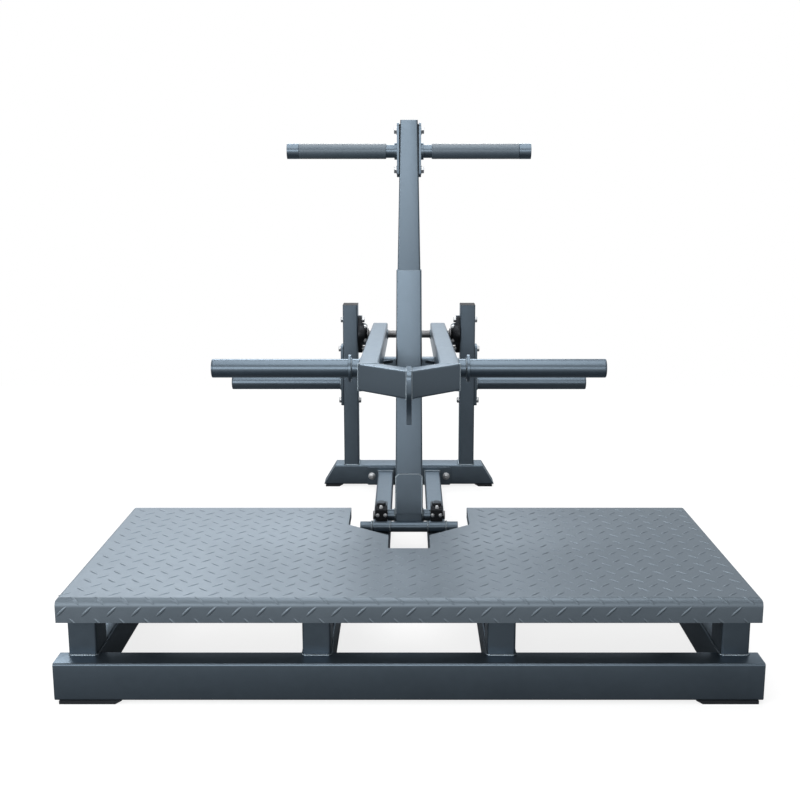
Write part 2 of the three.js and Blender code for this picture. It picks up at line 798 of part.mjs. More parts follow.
function buildCatch() {
  const radius = catchRadius();
  const back = columnDepth / 2 + clearance;
  const tip = back + catchReach;
  const heightAt = (y) => Math.sqrt(radius * radius - y * y);
  const shape = new THREE.Shape();
  shape.moveTo(back, heightAt(back) - catchHeight);
  shape.lineTo(tip, heightAt(tip) - catchTipHeight);
  shape.absarc(0, 0, radius, Math.asin(heightAt(tip) / radius), Math.asin(heightAt(back) / radius));
  const body = plate(shape, catchWidth, 8)
    .rotateX(Math.PI / 2)
    .rotateZ(Math.PI / 2)
    .translate(-catchWidth / 2, 0, 0);
  const hollow = block(catchWidth - 2 * catchCheek, catchReach + catchHeight, catchHeight)
    .translate(0, back + (catchReach + catchHeight) / 2 + catchCheek, heightAt(tip) - catchSaddle - catchHeight / 2);
  add('column_catch', cut(body, hollow), steel, column);
}

// Bearing blocks for the foot of the column, on the floor beams
function buildFootBlocks() {
  const radius = blockCornerRadius;
  const half = blockLength / 2;
  const shape = new THREE.Shape();
  shape.moveTo(-half, 0);
  shape.lineTo(half, 0);
  shape.absarc(half - radius, blockHeight - radius, radius, 0, Math.PI / 2);
  shape.absarc(-half + radius, blockHeight - radius, radius, Math.PI / 2, Math.PI);
  const seat = spineTop + clearance;
  const middle = spineInner + spineWidth / 2;
  const shaftBore = rodAlongX(-blockWidth, blockWidth, shaftDiameter + 2 * runningGap)
    .translate(0, 0, columnPivotHeight - seat);
  const body = cut(
    plate(shape, blockWidth, 4).rotateX(Math.PI / 2).rotateZ(Math.PI / 2).translate(-blockWidth / 2, 0, 0),
    shaftBore,
  ).translate(middle, columnStation, seat);
  const bolt = (y) => joined(
    rodAlongZ(seat + blockHeight - overrun, seat + blockHeight + m10.height, m10.head, 6),
    rodAlongZ(spineTop - 3 * wall, seat + overrun, m10.shank, 12),
  ).translate(middle, columnStation + y, 0);
  const bearing = joined(body, bolt(-blockBoltOffset), bolt(blockBoltOffset));
  add('foot_block_left', mirrored(bearing), blackIron);
  add('foot_block_right', bearing, blackIron);
}

// Handle: side plates bolted through the top of the column, with a grip bar on each
function buildHandle() {
  const middle = handleHeight + handlePlateLowering;
  const widthAt = (z) => upperFootWidth + (upperTopWidth - upperFootWidth) * (z / upperLength);
  const face = widthAt(middle - handlePlateHeight / 2) / 2 + clearance;
  const shape = roundedRectangle(handlePlateWidth, handlePlateHeight, 2 * tubeRadius);
  shape.holes.push(...handleBoltShares
    .map((share) => roundHole(0, share * handleBoltSpread, m12.shank + 2 * boltGap)));
  const sidePlate = plate(shape, handlePlateThickness, 4)
    .rotateX(Math.PI / 2)
    .rotateZ(Math.PI / 2)
    .translate(face, 0, middle);
  const root = face + handlePlateThickness;
  const bar = rodAlongX(root - handlePlateThickness / 2, barTip, barDiameter).translate(0, 0, handleHeight);
  const rootRing = rodAlongX(root - handlePlateThickness / 2, root + rootRingLength, rootRingDiameter)
    .translate(0, 0, handleHeight);
  const endRing = rodAlongX(gripEnd + clearance, barTip, gripDiameter).translate(0, 0, handleHeight);
  const handle = joined(sidePlate, bar, rootRing, endRing);
  add('handle_left', mirrored(handle), steel, upperColumn);
  add('handle_right', handle, steel, upperColumn);
  const grip = ringAboutX(gripStart, gripEnd, barDiameter + 2 * clearance, gripDiameter)
    .translate(0, 0, handleHeight);
  add('grip_left', mirrored(grip), rubber, upperColumn);
  add('grip_right', grip, rubber, upperColumn);

  const boltEnd = root + clearance;
  for (const [index, name] of ['lower', 'upper'].entries()) {
    const height = middle + handleBoltShares[index] * handleBoltSpread;
    const bolt = boltAlongX(m12, -boltEnd, boltEnd, 0, height);
    add(`handle_bolt_${name}`, bolt, zinc, upperColumn);
  }
}

buildPlatformFrame();
buildDeck();
buildFeet();
buildSpine();
buildTowers();
buildBearings();
buildStorageHorns();
buildFootBlocks();
buildLeverFrame();
buildHook();
buildCrossmember();
buildLeverShaft();
buildWeightHorns();
buildColumn();
buildCatch();
buildHandle();

lever.position.set(0, towerStation, leverPivotHeight);
lever.rotation.x = -leverTilt;
column.position.set(0, columnStation, columnPivotHeight);
column.rotation.x = -columnLean;

// The origin is the centre of the machine's box, on the floor.
machine.updateMatrixWorld(true);
const box = new THREE.Box3().setFromObject(machine, true);
machine.position.set(0, -(box.min.y + box.max.y) / 2, 0);

export default machine;
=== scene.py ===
"""Looks of the belt squat machine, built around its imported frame. Metres, +Y to the rear, +Z up."""

import json
import logging
import math
from dataclasses import dataclass
from enum import Enum
from typing import Iterable, Sequence

import bmesh
import bpy
from mathutils import Matrix, Vector


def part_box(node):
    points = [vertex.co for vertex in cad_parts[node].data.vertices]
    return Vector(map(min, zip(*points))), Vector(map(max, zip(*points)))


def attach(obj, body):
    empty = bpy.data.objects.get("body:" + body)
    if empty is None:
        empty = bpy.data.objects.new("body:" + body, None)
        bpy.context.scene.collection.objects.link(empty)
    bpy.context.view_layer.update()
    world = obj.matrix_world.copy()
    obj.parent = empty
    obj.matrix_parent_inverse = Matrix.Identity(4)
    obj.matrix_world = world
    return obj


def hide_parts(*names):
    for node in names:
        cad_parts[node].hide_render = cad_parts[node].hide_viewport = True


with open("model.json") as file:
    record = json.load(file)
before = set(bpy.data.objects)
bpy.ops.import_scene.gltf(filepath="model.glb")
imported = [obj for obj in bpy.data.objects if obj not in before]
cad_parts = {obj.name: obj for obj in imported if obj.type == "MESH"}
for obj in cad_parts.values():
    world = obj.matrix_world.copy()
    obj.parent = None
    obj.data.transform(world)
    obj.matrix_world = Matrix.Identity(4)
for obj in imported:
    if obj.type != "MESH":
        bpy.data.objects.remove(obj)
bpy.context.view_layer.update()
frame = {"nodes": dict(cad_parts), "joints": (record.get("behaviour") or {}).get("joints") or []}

LOG = logging.getLogger("belt_squat")
MM = 0.001
GAP = 0.3 * MM  # the clearance between neighbouring nodes of the frame
MERGED = 1e-6  # points of a new shape that are nearer than this are one
HERE = Matrix.Identity(4)
SIDES = {"right": HERE, "left": Matrix.Scale(-1, 4, (1, 0, 0))}

BMesh = bmesh.types.BMesh
Colour = tuple[float, float, float]
Outline = Sequence[tuple[float, float]]


class Body(Enum):
    """The rigid bodies that a piece can ride on."""

    FRAME = "frame"
    LEVER = "lever"
    COLUMN = "column"


class Slot(Enum):
    """The record's material slots."""

    SLATE = "slate_paint"
    TREAD = "tread_plate"
    GRIP = "grip_rubber"
    FOOT = "foot_rubber"
    IRON = "black_iron"
    ZINC = "zinc"
    STEEL = "bright_steel"


def at(x: float, y: float, z: float) -> Matrix:
    """A move to a place."""
    return Matrix.Translation((x, y, z))


def turn(degrees: float, axis: str) -> Matrix:
    """A turn about X, Y or Z."""
    return Matrix.Rotation(math.radians(degrees), 4, axis)


@dataclass(frozen=True)
class Places:
    """Named places of the machine, read from its joints and nodes, and its leans in degrees."""

    lever_tilt: float = 2.7
    column_lean: float = 6.0
    upper_lean: float = 2.0
    lower_length: float = 699 * MM
    front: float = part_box("front_rail")[0].y
    tower_inner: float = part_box("tower_right")[0].x
    tower_outer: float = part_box("tower_right")[1].x

    def pivot(self, joint: str) -> Vector:
        """A joint's place at rest."""
        found = [row for row in frame["joints"] if row["name"] == joint]
        return Vector(found[0]["pos_m"])

    def lever(self) -> Matrix:
        """The lever's own frame: its origin on the pivot and Y along the rails."""
        return at(*self.pivot("lever_pivot")) @ turn(-self.lever_tilt, "X")

    def column(self) -> Matrix:
        """The lower column's own frame: its origin on the foot axis and Z along the tube."""
        return at(*self.pivot("column_pivot")) @ turn(-self.column_lean, "X")

    def upper(self) -> Matrix:
        """The upper column's own frame: its origin at the bend."""
        bend = at(0, 0, self.lower_length)
        return self.column() @ bend @ turn(self.column_lean - self.upper_lean, "X")


PLACES = Places()


class Sock:
    """A shader value that can be used in sums, so that maths reads as Python."""

    def __init__(self, tree: "Tree", socket: bpy.types.NodeSocket) -> None:
        """Wraps an output socket of a tree."""
        self.tree = tree
        self.socket = socket

    def _math(self, operation: str, other: object) -> "Sock":
        """The result of a Math node on this value and a number or Sock."""
        return self.tree.node("ShaderNodeMath", {"operation": operation}, {0: self, 1: other})[0]

    def __add__(self, other: object) -> "Sock":
        """Sum."""
        return self._math("ADD", other)

    def __mul__(self, other: object) -> "Sock":
        """Product."""
        return self._math("MULTIPLY", other)

    def __sub__(self, other: object) -> "Sock":
        """Difference."""
        return self._math("SUBTRACT", other)

    def clamped(self) -> "Sock":
        """The value held between 0 and 1."""
        return self.tree.node("ShaderNodeClamp", {}, {0: self})[0]


class Tree:
    """A node tree with one method that adds nodes."""

    def __init__(self, tree: bpy.types.NodeTree) -> None:
        """Wraps the node tree of a material or of the world."""
        self.nodes = tree.nodes
        self.links = tree.links

    def node(self, kind: str, settings: dict, values: dict) -> list[Sock]:
        """Adds a node.

        Args:
            kind: the node's type.
            settings: properties, which are set first.
            values: numbers, tuples or Socks by input name or index.

        Returns:
            The node's outputs.
        """
        made = self.nodes.new(kind)
        for key, value in settings.items():
            setattr(made, key, value)
        for key, value in values.items():
            self.feed(made.inputs[key], value)
        return [Sock(self, output) for output in made.outputs]

    def feed(self, socket: bpy.types.NodeSocket, value: object) -> None:
        """Links a Sock to an input, or sets the input's own value.

        Args:
            socket: the input.
            value: a Sock, number or tuple.
        """
        if isinstance(value, Sock):
            self.links.new(value.socket, socket)
        else:
            socket.default_value = value

    def seen(self, glossy: float = 1.0) -> Sock:
        """The share of camera, glossy and transmission rays, which show the background."""
        path = self.node("ShaderNodeLightPath", {}, {})
        return (path[0] + path[3] * glossy + path[6]).clamped()


class Shader(Tree):
    """A material with shortcuts for what its finishes share."""

    def __init__(self, name: str) -> None:
        """Starts a material with a name and a plain surface shader.

        Args:
            name: the material's name.
        """
        self.material = bpy.data.materials.new(name)
        self.material.use_nodes = True
        super().__init__(self.material.node_tree)
        self.surface = self.nodes["Principled BSDF"]

    def dress(self, values: dict[str, object]) -> None:
        """Sets or links the surface's inputs by name."""
        for name, value in values.items():
            self.feed(self.surface.inputs[name], value)

    def coords(self) -> Sock:
        """Object coordinates, in metres."""
        return self.node("ShaderNodeTexCoord", {}, {})[3]

    def noise(self, scale: float, detail: float, vector: Sock | None = None) -> Sock:
        """Noise from 0 to 1, with so many features per metre and octaves of detail."""
        values = {"Vector": vector or self.coords(), "Scale": scale, "Detail": detail}
        return self.node("ShaderNodeTexNoise", {}, values)[0]

    def blend(self, amount: Sock, low: Colour, high: Colour) -> Sock:
        """A colour between two, low at 0 and high at 1."""
        values = {"Factor": amount, 6: (*low, 1), 7: (*high, 1)}
        return self.node("ShaderNodeMix", {"data_type": "RGBA"}, values)[2]

    def relief(self, height: Sock, depth: float, strength: float) -> None:
        """Feeds the surface's normal with a bump that is so many metres deep."""
        values = {"Strength": strength, "Distance": depth, "Height": height}
        self.dress({"Normal": self.node("ShaderNodeBump", {}, values)[0]})


@dataclass(frozen=True)
class Finish:
    """What every finish has: two shades that mingle, and a roughness."""

    name: str
    colour: Colour
    second: Colour
    roughness: float


@dataclass(frozen=True)
class PowderCoat(Finish):
    """Satin powder coat: fine orange peel, faint mottling and a few dry patches."""

    spread: float = 0.07
    metallic: float = 0.8
    tint: Colour = (0.80, 0.90, 1.0)
    mottle_per_metre: float = 7.0
    patches_per_metre: float = 60.0
    mottle_share: float = 0.75
    patch_share: float = 0.35
    plain_share: float = 0.25
    peel_per_metre: float = 520.0
    peel_depth: float = 0.00012
    peel_strength: float = 0.6

    def make(self) -> bpy.types.Material:
        """Builds the material.

        Returns:
            The new material.
        """
        shader = Shader(self.name)
        mottle = shader.noise(self.mottle_per_metre, 4.0)
        patches = shader.noise(self.patches_per_metre, 3.0)
        worn = mottle * self.mottle_share + patches * self.patch_share - self.plain_share
        shader.dress({
            "Base Color": shader.blend(worn.clamped(), self.colour, self.second),
            "Roughness": (mottle * self.spread + patches * self.spread
                          + (self.roughness - self.spread)),
            "Metallic": self.metallic,
            "Specular Tint": (*self.tint, 1),
        })
        peel = shader.noise(self.peel_per_metre, 2.0)
        shader.relief(peel, self.peel_depth, self.peel_strength)
        return shader.material


@dataclass(frozen=True)
class MouldedRubber(Finish):
    """Dark rubber with a fine grain and some dust."""

    tint: Colour = (1.0, 1.0, 1.0)
    gloss: float = 0.5
    dust_per_metre: float = 22.0
    dust_roughness: float = 0.12
    grain_per_metre: float = 900.0
    grain_depth: float = 0.0002
    grain_strength: float = 0.7

    def make(self) -> bpy.types.Material:
        """Builds the material.

        Returns:
            The new material.
        """
        shader = Shader(self.name)
        dust = shader.noise(self.dust_per_metre, 4.0)
        smoothest = self.roughness - self.dust_roughness / 2
        shader.dress({
            "Base Color": shader.blend(dust, self.colour, self.second),
            "Roughness": dust * self.dust_roughness + smoothest,
            "Specular Tint": (*self.tint, 1),
            "Specular IOR Level": self.gloss,
        })
        grain = shader.noise(self.grain_per_metre, 3.0)
        shader.relief(grain, self.grain_depth, self.grain_strength)
        return shader.material


@dataclass(frozen=True)
class BareMetal(Finish):
    """Plated or turned steel with drawn marks, so many per metre along each axis."""

    marks: Colour
    stains_per_metre: float = 35.0
    stain_roughness: float = 0.14
    mark_depth: float = 0.00008
    mark_strength: float = 0.5

    def make(self) -> bpy.types.Material:
        """Builds the material.

        Returns:
            The new material.
        """
        shader = Shader(self.name)
        stain = shader.noise(self.stains_per_metre, 3.0)
        smoothest = self.roughness - self.stain_roughness / 2
        shader.dress({
            "Base Color": shader.blend(stain, self.colour, self.second),
            "Roughness": stain * self.stain_roughness + smoothest,
            "Metallic": 1.0,
        })
        drawn = {"Vector": shader.coords(), "Scale": self.marks}
        marks = shader.noise(1.0, 2.0, shader.node("ShaderNodeMapping", {}, drawn)[0])
        shader.relief(marks, self.mark_depth, self.mark_strength)
        return shader.material


FINISHES: dict[Slot, bpy.types.Material] = {
    Slot.SLATE: PowderCoat(
        "slate_powder_coat", (0.052, 0.068, 0.084), (0.062, 0.081, 0.100), 0.35,
    ).make(),
    Slot.TREAD: PowderCoat(
        "tread_powder_coat", (0.062, 0.078, 0.093), (0.080, 0.098, 0.115), 0.44,
        spread=0.10, metallic=0.5,
    ).make(),
    Slot.GRIP: MouldedRubber(
        "grip_sleeve", (0.030, 0.041, 0.052), (0.044, 0.058, 0.072), 0.44, tint=(0.78, 0.90, 1.0),
    ).make(),
    Slot.FOOT: MouldedRubber(
        "foot_pad", (0.007, 0.008, 0.010), (0.015, 0.017, 0.020), 0.75, gloss=0.12,
    ).make(),
    Slot.IRON: PowderCoat(
        "black_cast_iron", (0.006, 0.006, 0.007), (0.012, 0.013, 0.014), 0.42,
        spread=0.1, peel_per_metre=300.0, peel_depth=0.0005,
    ).make(),
    Slot.ZINC: BareMetal(
        "zinc_plate", (0.34, 0.35, 0.36), (0.23, 0.24, 0.25), 0.42, (300.0, 300.0, 300.0),
    ).make(),
    Slot.STEEL: BareMetal(
        "turned_steel", (0.110, 0.112, 0.116), (0.070, 0.071, 0.074), 0.46, (2400.0, 60.0, 60.0),
    ).make(),
}
# the weld beads wear the slate paint; this lighter copy of it is a painted highlight on the beads
LIT_WELD_COAT = PowderCoat(
    "weld_coat_painted_highlight", (0.120, 0.145, 0.165), (0.160, 0.188, 0.210), 0.30,
).make()


def to_mesh(work: BMesh) -> bpy.types.Mesh:
    """Turns a bmesh into a mesh and frees it.

    Args:
        work: the bmesh.

    Returns:
        The mesh.
    """
    mesh = bpy.data.meshes.new("work")
    work.to_mesh(mesh)
    work.free()
    return mesh


def placed(work: BMesh, place: Matrix) -> BMesh:
    """Moves a whole bmesh, keeping its faces outward.

    Args:
        work: the bmesh.
        place: where it goes.

    Returns:
        The same bmesh.
    """
    bmesh.ops.transform(work, matrix=place, verts=work.verts)
    if place.determinant() < 0:
        bmesh.ops.reverse_faces(work, faces=work.faces)
    return work


def joined(parts: Iterable[BMesh]) -> BMesh:
    """Puts several bmeshes into one.

    Args:
        parts: the bmeshes, which are freed.

    Returns:
        One bmesh.
    """
    whole = bmesh.new()
    for part in parts:
        whole.from_mesh(to_mesh(part))
    return whole


@dataclass(frozen=True)
class Piece:
    """How a finished shape is added to the machine."""

    name: str
    body: Body
    slot: Slot
    node: str = ""
    smooth_below: float = 38.0
    edge: float = 0.0
    finish: bpy.types.Material | None = None

    def add(self, work: BMesh, place: Matrix = HERE) -> None:
        """Adds a bmesh as an object, shades, rounds and dresses it.

        Args:
            work: the shape, which is freed.
            place: where it goes.
        """
        self._shade(placed(work, place))
        mesh = to_mesh(work)
        mesh.name = self.name
        mesh.materials.append(self.finish or FINISHES[self.slot])
        made = bpy.data.objects.new(self.name, mesh)
        bpy.context.scene.collection.objects.link(made)
        if self.edge:
            bevel = made.modifiers.new("edge", "BEVEL")
            bevel.width = self.edge
            bevel.segments = 2
            bevel.limit_method = "ANGLE"
            bevel.angle_limit = math.radians(self.smooth_below)
            bevel.harden_normals = True
        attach(made, self.body.value)
        if self.node:
            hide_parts(self.node)
        LOG.info("%s on %s, %d faces", self.name, self.body.value, len(mesh.polygons))

    def _shade(self, work: BMesh) -> None:
        """Shades smooth, with sharp edges where faces meet at a wide angle.

        Args:
            work: the shape.
        """
        work.normal_update()
        limit = math.radians(self.smooth_below)
        for face in work.faces:
            face.smooth = True
        for edge in work.edges:
            edge.smooth = len(edge.link_faces) == 2 and edge.calc_face_angle(0.0) < limit


def cleaned(node: str) -> BMesh:
    """A copy of a frame node with its points merged and its flat faces joined.

    Args:
        node: the node's name.

    Returns:
        The new bmesh.
    """
    work = bmesh.new()
    work.from_mesh(frame["nodes"][node].data)
    merged, flat = 2e-5, math.radians(0.6)
    bmesh.ops.remove_doubles(work, verts=work.verts, dist=merged)
    bmesh.ops.dissolve_limit(
        work, angle_limit=flat, verts=work.verts, edges=work.edges, use_dissolve_boundaries=False,
    )
    return work


def refine(nodes: Iterable[str], body: Body, slot: Slot, edge: float = 0.9 * MM) -> None:
    """Replaces frame nodes by clean copies with softened edges, edge wide."""
    for node in nodes:
        Piece(f"{node}_finished", body, slot, node, edge=edge).add(cleaned(node))


def turned(profile: Outline, steps: int = 56) -> BMesh:
    """Spins a profile about X.

    Args:
        profile: pairs of distance along X and radius.
        steps: how many steps go round.

    Returns:
        The closed surface.
    """
    work = bmesh.new()
    points = [work.verts.new((along, 0, radius)) for along, radius in profile]
    edges = [work.edges.new(pair) for pair in zip(points, points[1:])]
    bmesh.ops.spin(
        work, geom=points + edges, cent=(0, 0, 0), axis=(1, 0, 0), angle=2 * math.pi,
        steps=steps, use_merge=True,
    )
    bmesh.ops.remove_doubles(work, verts=work.verts, dist=MERGED)
    bmesh.ops.recalc_face_normals(work, faces=work.faces)
    return work


def in_mm(outline: Outline) -> Outline:
    """An outline that is written in millimetres."""
    return [(along * MM, radius * MM) for along, radius in outline]


def rod(start: float, end: float, radius: float, steps: int, chamfer: float = 0.0) -> BMesh:
    """A round bar along X.

    Args:
        start: its lowest X.
        end: its highest X.
        radius: its radius.
        steps: how many steps go round.
        chamfer: what is cut from the rims of its ends.

    Returns:
        The closed bar.
    """
    profile = [(start, 0), (start, radius - chamfer), (end, radius - chamfer), (end, 0)]
    if chamfer:
        profile[2:2] = [(start + chamfer, radius), (end - chamfer, radius)]
    return turned(profile, steps)


def block(place: Matrix, size: tuple[float, float, float]) -> BMesh:
    """A box on its middle, which is bevelled or given rounded edges later.

    Args:
        place: the frame of its middle.
        size: its size along X, Y and Z.

    Returns:
        The closed box.
    """
    work = bmesh.new()
    bmesh.ops.create_cube(work, size=1, matrix=place @ Matrix.Diagonal((*size, 1)))
    return work


def capped_off(work: BMesh, height: float, up: int) -> None:
    """Cuts a shape level, and closes it.

    Args:
        work: the shape.
        height: the Z of the cut.
        up: 1 to take away what is above, or -1 for what is below.
    """
    bmesh.ops.bisect_plane(
        work, geom=[*work.verts, *work.edges, *work.faces], dist=MERGED,
        plane_co=(0, 0, height), plane_no=(0, 0, up), clear_outer=True,
    )
    rims = [edge for edge in work.edges if edge.is_boundary]
    bmesh.ops.holes_fill(work, edges=rims, sides=0)


@dataclass(frozen=True)
class Weld:
    """A rippled fillet weld along a path."""

    radius: float = 2.6 * MM
    ripple: float = 3.4 * MM
    swing: float = 0.16
    step: float = 1.15 * MM

    def bead(self, path: Sequence[Vector], closed: bool = False) -> BMesh:
        """Sweeps the bead along a path of straight runs.

        Args:
            path: the corners of the path.
            closed: whether it returns to its start.

        Returns:
            The bead as a closed surface.
        """
        points = self._walk(path, closed)
        curve = bpy.data.curves.new("bead", "CURVE")
        curve.dimensions = "3D"
        curve.bevel_depth = self.radius
        curve.bevel_resolution = 1
        curve.use_fill_caps = True
        spline = curve.splines.new("POLY")
        spline.points.add(len(points) - 1)
        spline.use_cyclic_u = closed
        for index, point in enumerate(points):
            spline.points[index].co = (*point, 1)
            phase = 2 * math.pi * index * self.step / self.ripple
            spline.points[index].radius = 1 + self.swing * math.sin(phase)
        holder = bpy.data.objects.new("bead", curve)
        work = bmesh.new()
        work.from_mesh(bpy.data.meshes.new_from_object(holder))
        bpy.data.objects.remove(holder)
        bmesh.ops.remove_doubles(work, verts=work.verts, dist=MERGED)
        bmesh.ops.recalc_face_normals(work, faces=work.faces)
        return work

    def ring(self, x: float, radius: float, place: Matrix) -> BMesh:
        """The bead round a bar that lies along X in a place's own frame."""
        return self.bead(ring_path(x, radius, place), True)

    def _walk(self, path: Sequence[Vector], closed: bool) -> list[Vector]:
        """Even steps along a path.

        Args:
            path: the corners.
            closed: whether it returns to its start.

        Returns:
            The points.
        """
        corners = list(path) + ([path[0]] if closed else [])
        points = []
        for start, end in zip(corners, corners[1:]):
            count = max(1, round((end - start).length / self.step))
            points += [start.lerp(end, index / count) for index in range(count)]
        return points if closed else points + [corners[-1]]


WELD = Weld()


def ring_path(x: float, radius: float, place: Matrix, corners: int = 40) -> list[Vector]:
    """The corners of a circle about the X axis of a place's own frame."""
    turns = [2 * math.pi * index / corners for index in range(corners)]
    return [place @ Vector((x, radius * math.cos(a), radius * math.sin(a))) for a in turns]


def box_path(low: Sequence[float], high: Sequence[float], height: float) -> list[Vector]:
    """A rectangle with cut corners, level with the floor.

    Args:
        low: its lower corner in X and Y.
        high: its upper corner in X and Y.
        height: its Z.

    Returns:
        Its points.
    """
    cut = 5 * MM
    (x0, y0), (x1, y1) = low, high
    flat = [
        (x0 + cut, y0), (x1 - cut, y0), (x1, y0 + cut), (x1, y1 - cut),
        (x1 - cut, y1), (x0 + cut, y1), (x0, y1 - cut), (x0, y0 + cut),
    ]
    return [Vector((x, y, height)) for x, y in flat]


def base_welds(nodes: Iterable[str]) -> list[BMesh]:
    """Beads round the feet of upright tubes."""
    boxes = [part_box(node) for node in nodes]
    return [WELD.bead(box_path(low.xy, high.xy, low.z), True) for low, high in boxes]


def end_welds(nodes: Iterable[str]) -> list[BMesh]:
    """Upright and level beads at both ends of tubes that run along Y.

    Args:
        nodes: the tubes' names.

    Returns:
        The beads.
    """
    beads = []
    for low, high in [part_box(node) for node in nodes]:
        corners = [(low.x, low.z), (low.x, high.z), (high.x, high.z), (high.x, low.z)]
        for y in (low.y, high.y):
            beads.append(WELD.bead([Vector((x, y, z)) for x, z in corners]))
    return beads


def add_welds(name: str, body: Body, beads: Iterable[BMesh]) -> None:
    """Adds weld beads, which are freed, as one piece in the lighter weld coat, a painted highlight.
    """
    Piece(name, body, Slot.SLATE, smooth_below=70, finish=LIT_WELD_COAT).add(joined(beads))


@dataclass
class Deck:
    """The folded tread-plate deck and its raised lugs."""

    pitch: float = 50 * MM
    phase_across: float = -20 * MM
    phase_along: float = -11.4 * MM
    lug_length: float = 30.5 * MM
    lug_width: float = 6.4 * MM
    lug_height: float = 1.2 * MM
    lug_cut: float = 0.7
    lug_root: float = 0.03
    lug_sides: int = 12
    bend: float = 18 * MM
    margin: float = 1.5 * MM
    trimmed: float = 0.6 * MM
    taper: float = 0.0133
    opening: Outline = ((0, 150), (144, 150), (226, 52), (324, 52))

    def build(self) -> None:
        """Adds the plate and its lugs."""
        self.low, self.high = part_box("deck_plate")
        self.fold = self.bend * math.pi / 2
        plate = cleaned("deck_plate")
        for vertex in plate.verts:
            vertex.co = self._drawn_in(vertex.co)
        Piece("deck_plate_finished", Body.FRAME, Slot.TREAD, "deck_plate", edge=0.7 * MM).add(plate)
        Piece("deck_lugs", Body.FRAME, Slot.TREAD, smooth_below=80).add(self._lugs())

    def _lugs(self) -> BMesh:
        """Every lug of the pattern that lies on the plate, wrapped over the front bend.

        Returns:
            The lugs, trimmed at the fold's lower edge.
        """
        lug = self._lug()
        work = bmesh.new()
        across = int(self.high.x / self.pitch) + 1
        along = int((self.high.y - self.low.y) / self.pitch) + 2
        for half, slant in ((0.0, -45), (0.5, 45)):
            for column in range(-across, across + 1):
                for row in range(-2, along):
                    x = (column + half) * self.pitch + self.phase_across
                    y = (row + half) * self.pitch + self.phase_along
                    if self._fits(x, y):
                        place = at(x, y, 0) @ turn(slant, "Z")
                        lug.transform(place)
                        work.from_mesh(lug)
                        lug.transform(place.inverted())
        for vertex in work.verts:
            vertex.co = self._drawn_in(self._wrapped(vertex.co))
        capped_off(work, self.low.z + self.trimmed, -1)
        return work

    def _lug(self) -> bpy.types.Mesh:
        """One lens-shaped lug along X: the cap of a stretched ball, closed just under the plate.

        Returns:
            The lug's mesh.
        """
        work = bmesh.new()
        sides = self.lug_sides
        bmesh.ops.create_uvsphere(work, u_segments=sides, v_segments=sides, radius=1)
        cut = bmesh.ops.bisect_plane(
            work, geom=[*work.verts, *work.edges, *work.faces], dist=1e-5,
            plane_co=(0, 0, self.lug_cut - self.lug_root), plane_no=(0, 0, 1), clear_inner=True,
        )
        rim = [part for part in cut["geom_cut"] if isinstance(part, bmesh.types.BMEdge)]
        bmesh.ops.edgeloop_fill(work, edges=rim)
        bmesh.ops.recalc_face_normals(work, faces=work.faces)
        reach = math.sqrt(1 - self.lug_cut ** 2)
        size = (
            self.lug_length / 2 / reach, self.lug_width / 2 / reach,
            self.lug_height / (1 - self.lug_cut),
        )
        return to_mesh(placed(work, Matrix.Diagonal((*size, 1)) @ at(0, 0, -self.lug_cut)))

    def _fits(self, x: float, y: float) -> bool:
        """Whether a lug lies inside the plate's outline.

        Args:
            x: its centre across the plate.
            y: its centre along the unrolled plate.

        Returns:
            True if the whole lug is on the plate.
        """
        reach = self.lug_length * math.cos(math.pi / 4) / 2
        depth = self.high.y - self.low.y - self.bend
        bottom = -self.fold - (self.high.z - self.bend - self.low.z)
        share = max(y, 0) / depth
        half = self.high.x * (1 - self.taper * share)
        inside = (
            abs(x) + reach < half - self.margin
            and bottom < y + reach / 2 and y + reach < depth - self.margin
        )
        return inside and abs(x) - reach > self._half_opening(depth - (y + reach))

    def _half_opening(self, from_rear: float) -> float:
        """How far the notch and its slot reach from the middle.

        Args:
            from_rear: the distance from the plate's rear edge.

        Returns:
            Half the opening's width, or minus infinity in front of it.
        """
        corners = in_mm(self.opening)
        for (start, first), (end, last) in zip(corners, corners[1:]):
            if from_rear < end:
                return first + (last - first) * (from_rear - start) / (end - start)
        return -math.inf

    def _drawn_in(self, point: Vector) -> Vector:
        """Moves a point of the folded plate to the rear over the bend, by a lug's height."""
        share = min(max((self.low.y + self.bend - point.y) / self.bend, 0), 1)
        return Vector((point.x, point.y + self.lug_height * share, point.z))

    def _wrapped(self, point: Vector) -> Vector:
        """Folds a point of the unrolled plate over the front bend.

        Args:
            point: X across, Y along the unrolled plate and Z above it.

        Returns:
            The point on the folded plate.
        """
        out = self.bend + point.z
        start = self.low.y + self.bend
        middle = self.high.z - self.bend
        if point.y >= 0:
            return Vector((point.x, start + point.y, self.high.z + point.z))
        if point.y > -self.fold:
            angle = -point.y / self.bend
            return Vector(
                (point.x, start - out * math.sin(angle), middle + out * math.cos(angle))
            )
        return Vector((point.x, start - out, middle + point.y + self.fold))


@dataclass
class Platform:
    """The platform's rails, posts and feet, with their welds."""

    cross_rails: tuple[str, ...] = ("front_rail", "rear_rail")
    long_rails: tuple[str, ...] = (
        "side_rail_left", "side_rail_right", "mid_beam_left", "mid_beam_right",
    )
    posts: tuple[str, ...] = tuple(f"front_post_{number}" for number in range(1, 5))

    def build(self) -> None:
        """Adds the frame's tubes, feet and welds."""
        refine(self.cross_rails + self.long_rails + self.posts, Body.FRAME, Slot.SLATE)
        feet = [f"{place}_foot_{side}" for place in ("front", "rear", "tower") for side in SIDES]
        refine(feet, Body.FRAME, Slot.FOOT, 0.6 * MM)
        add_welds("post_welds", Body.FRAME, base_welds(self.posts))
        add_welds("rail_welds", Body.FRAME, end_welds(self.long_rails))


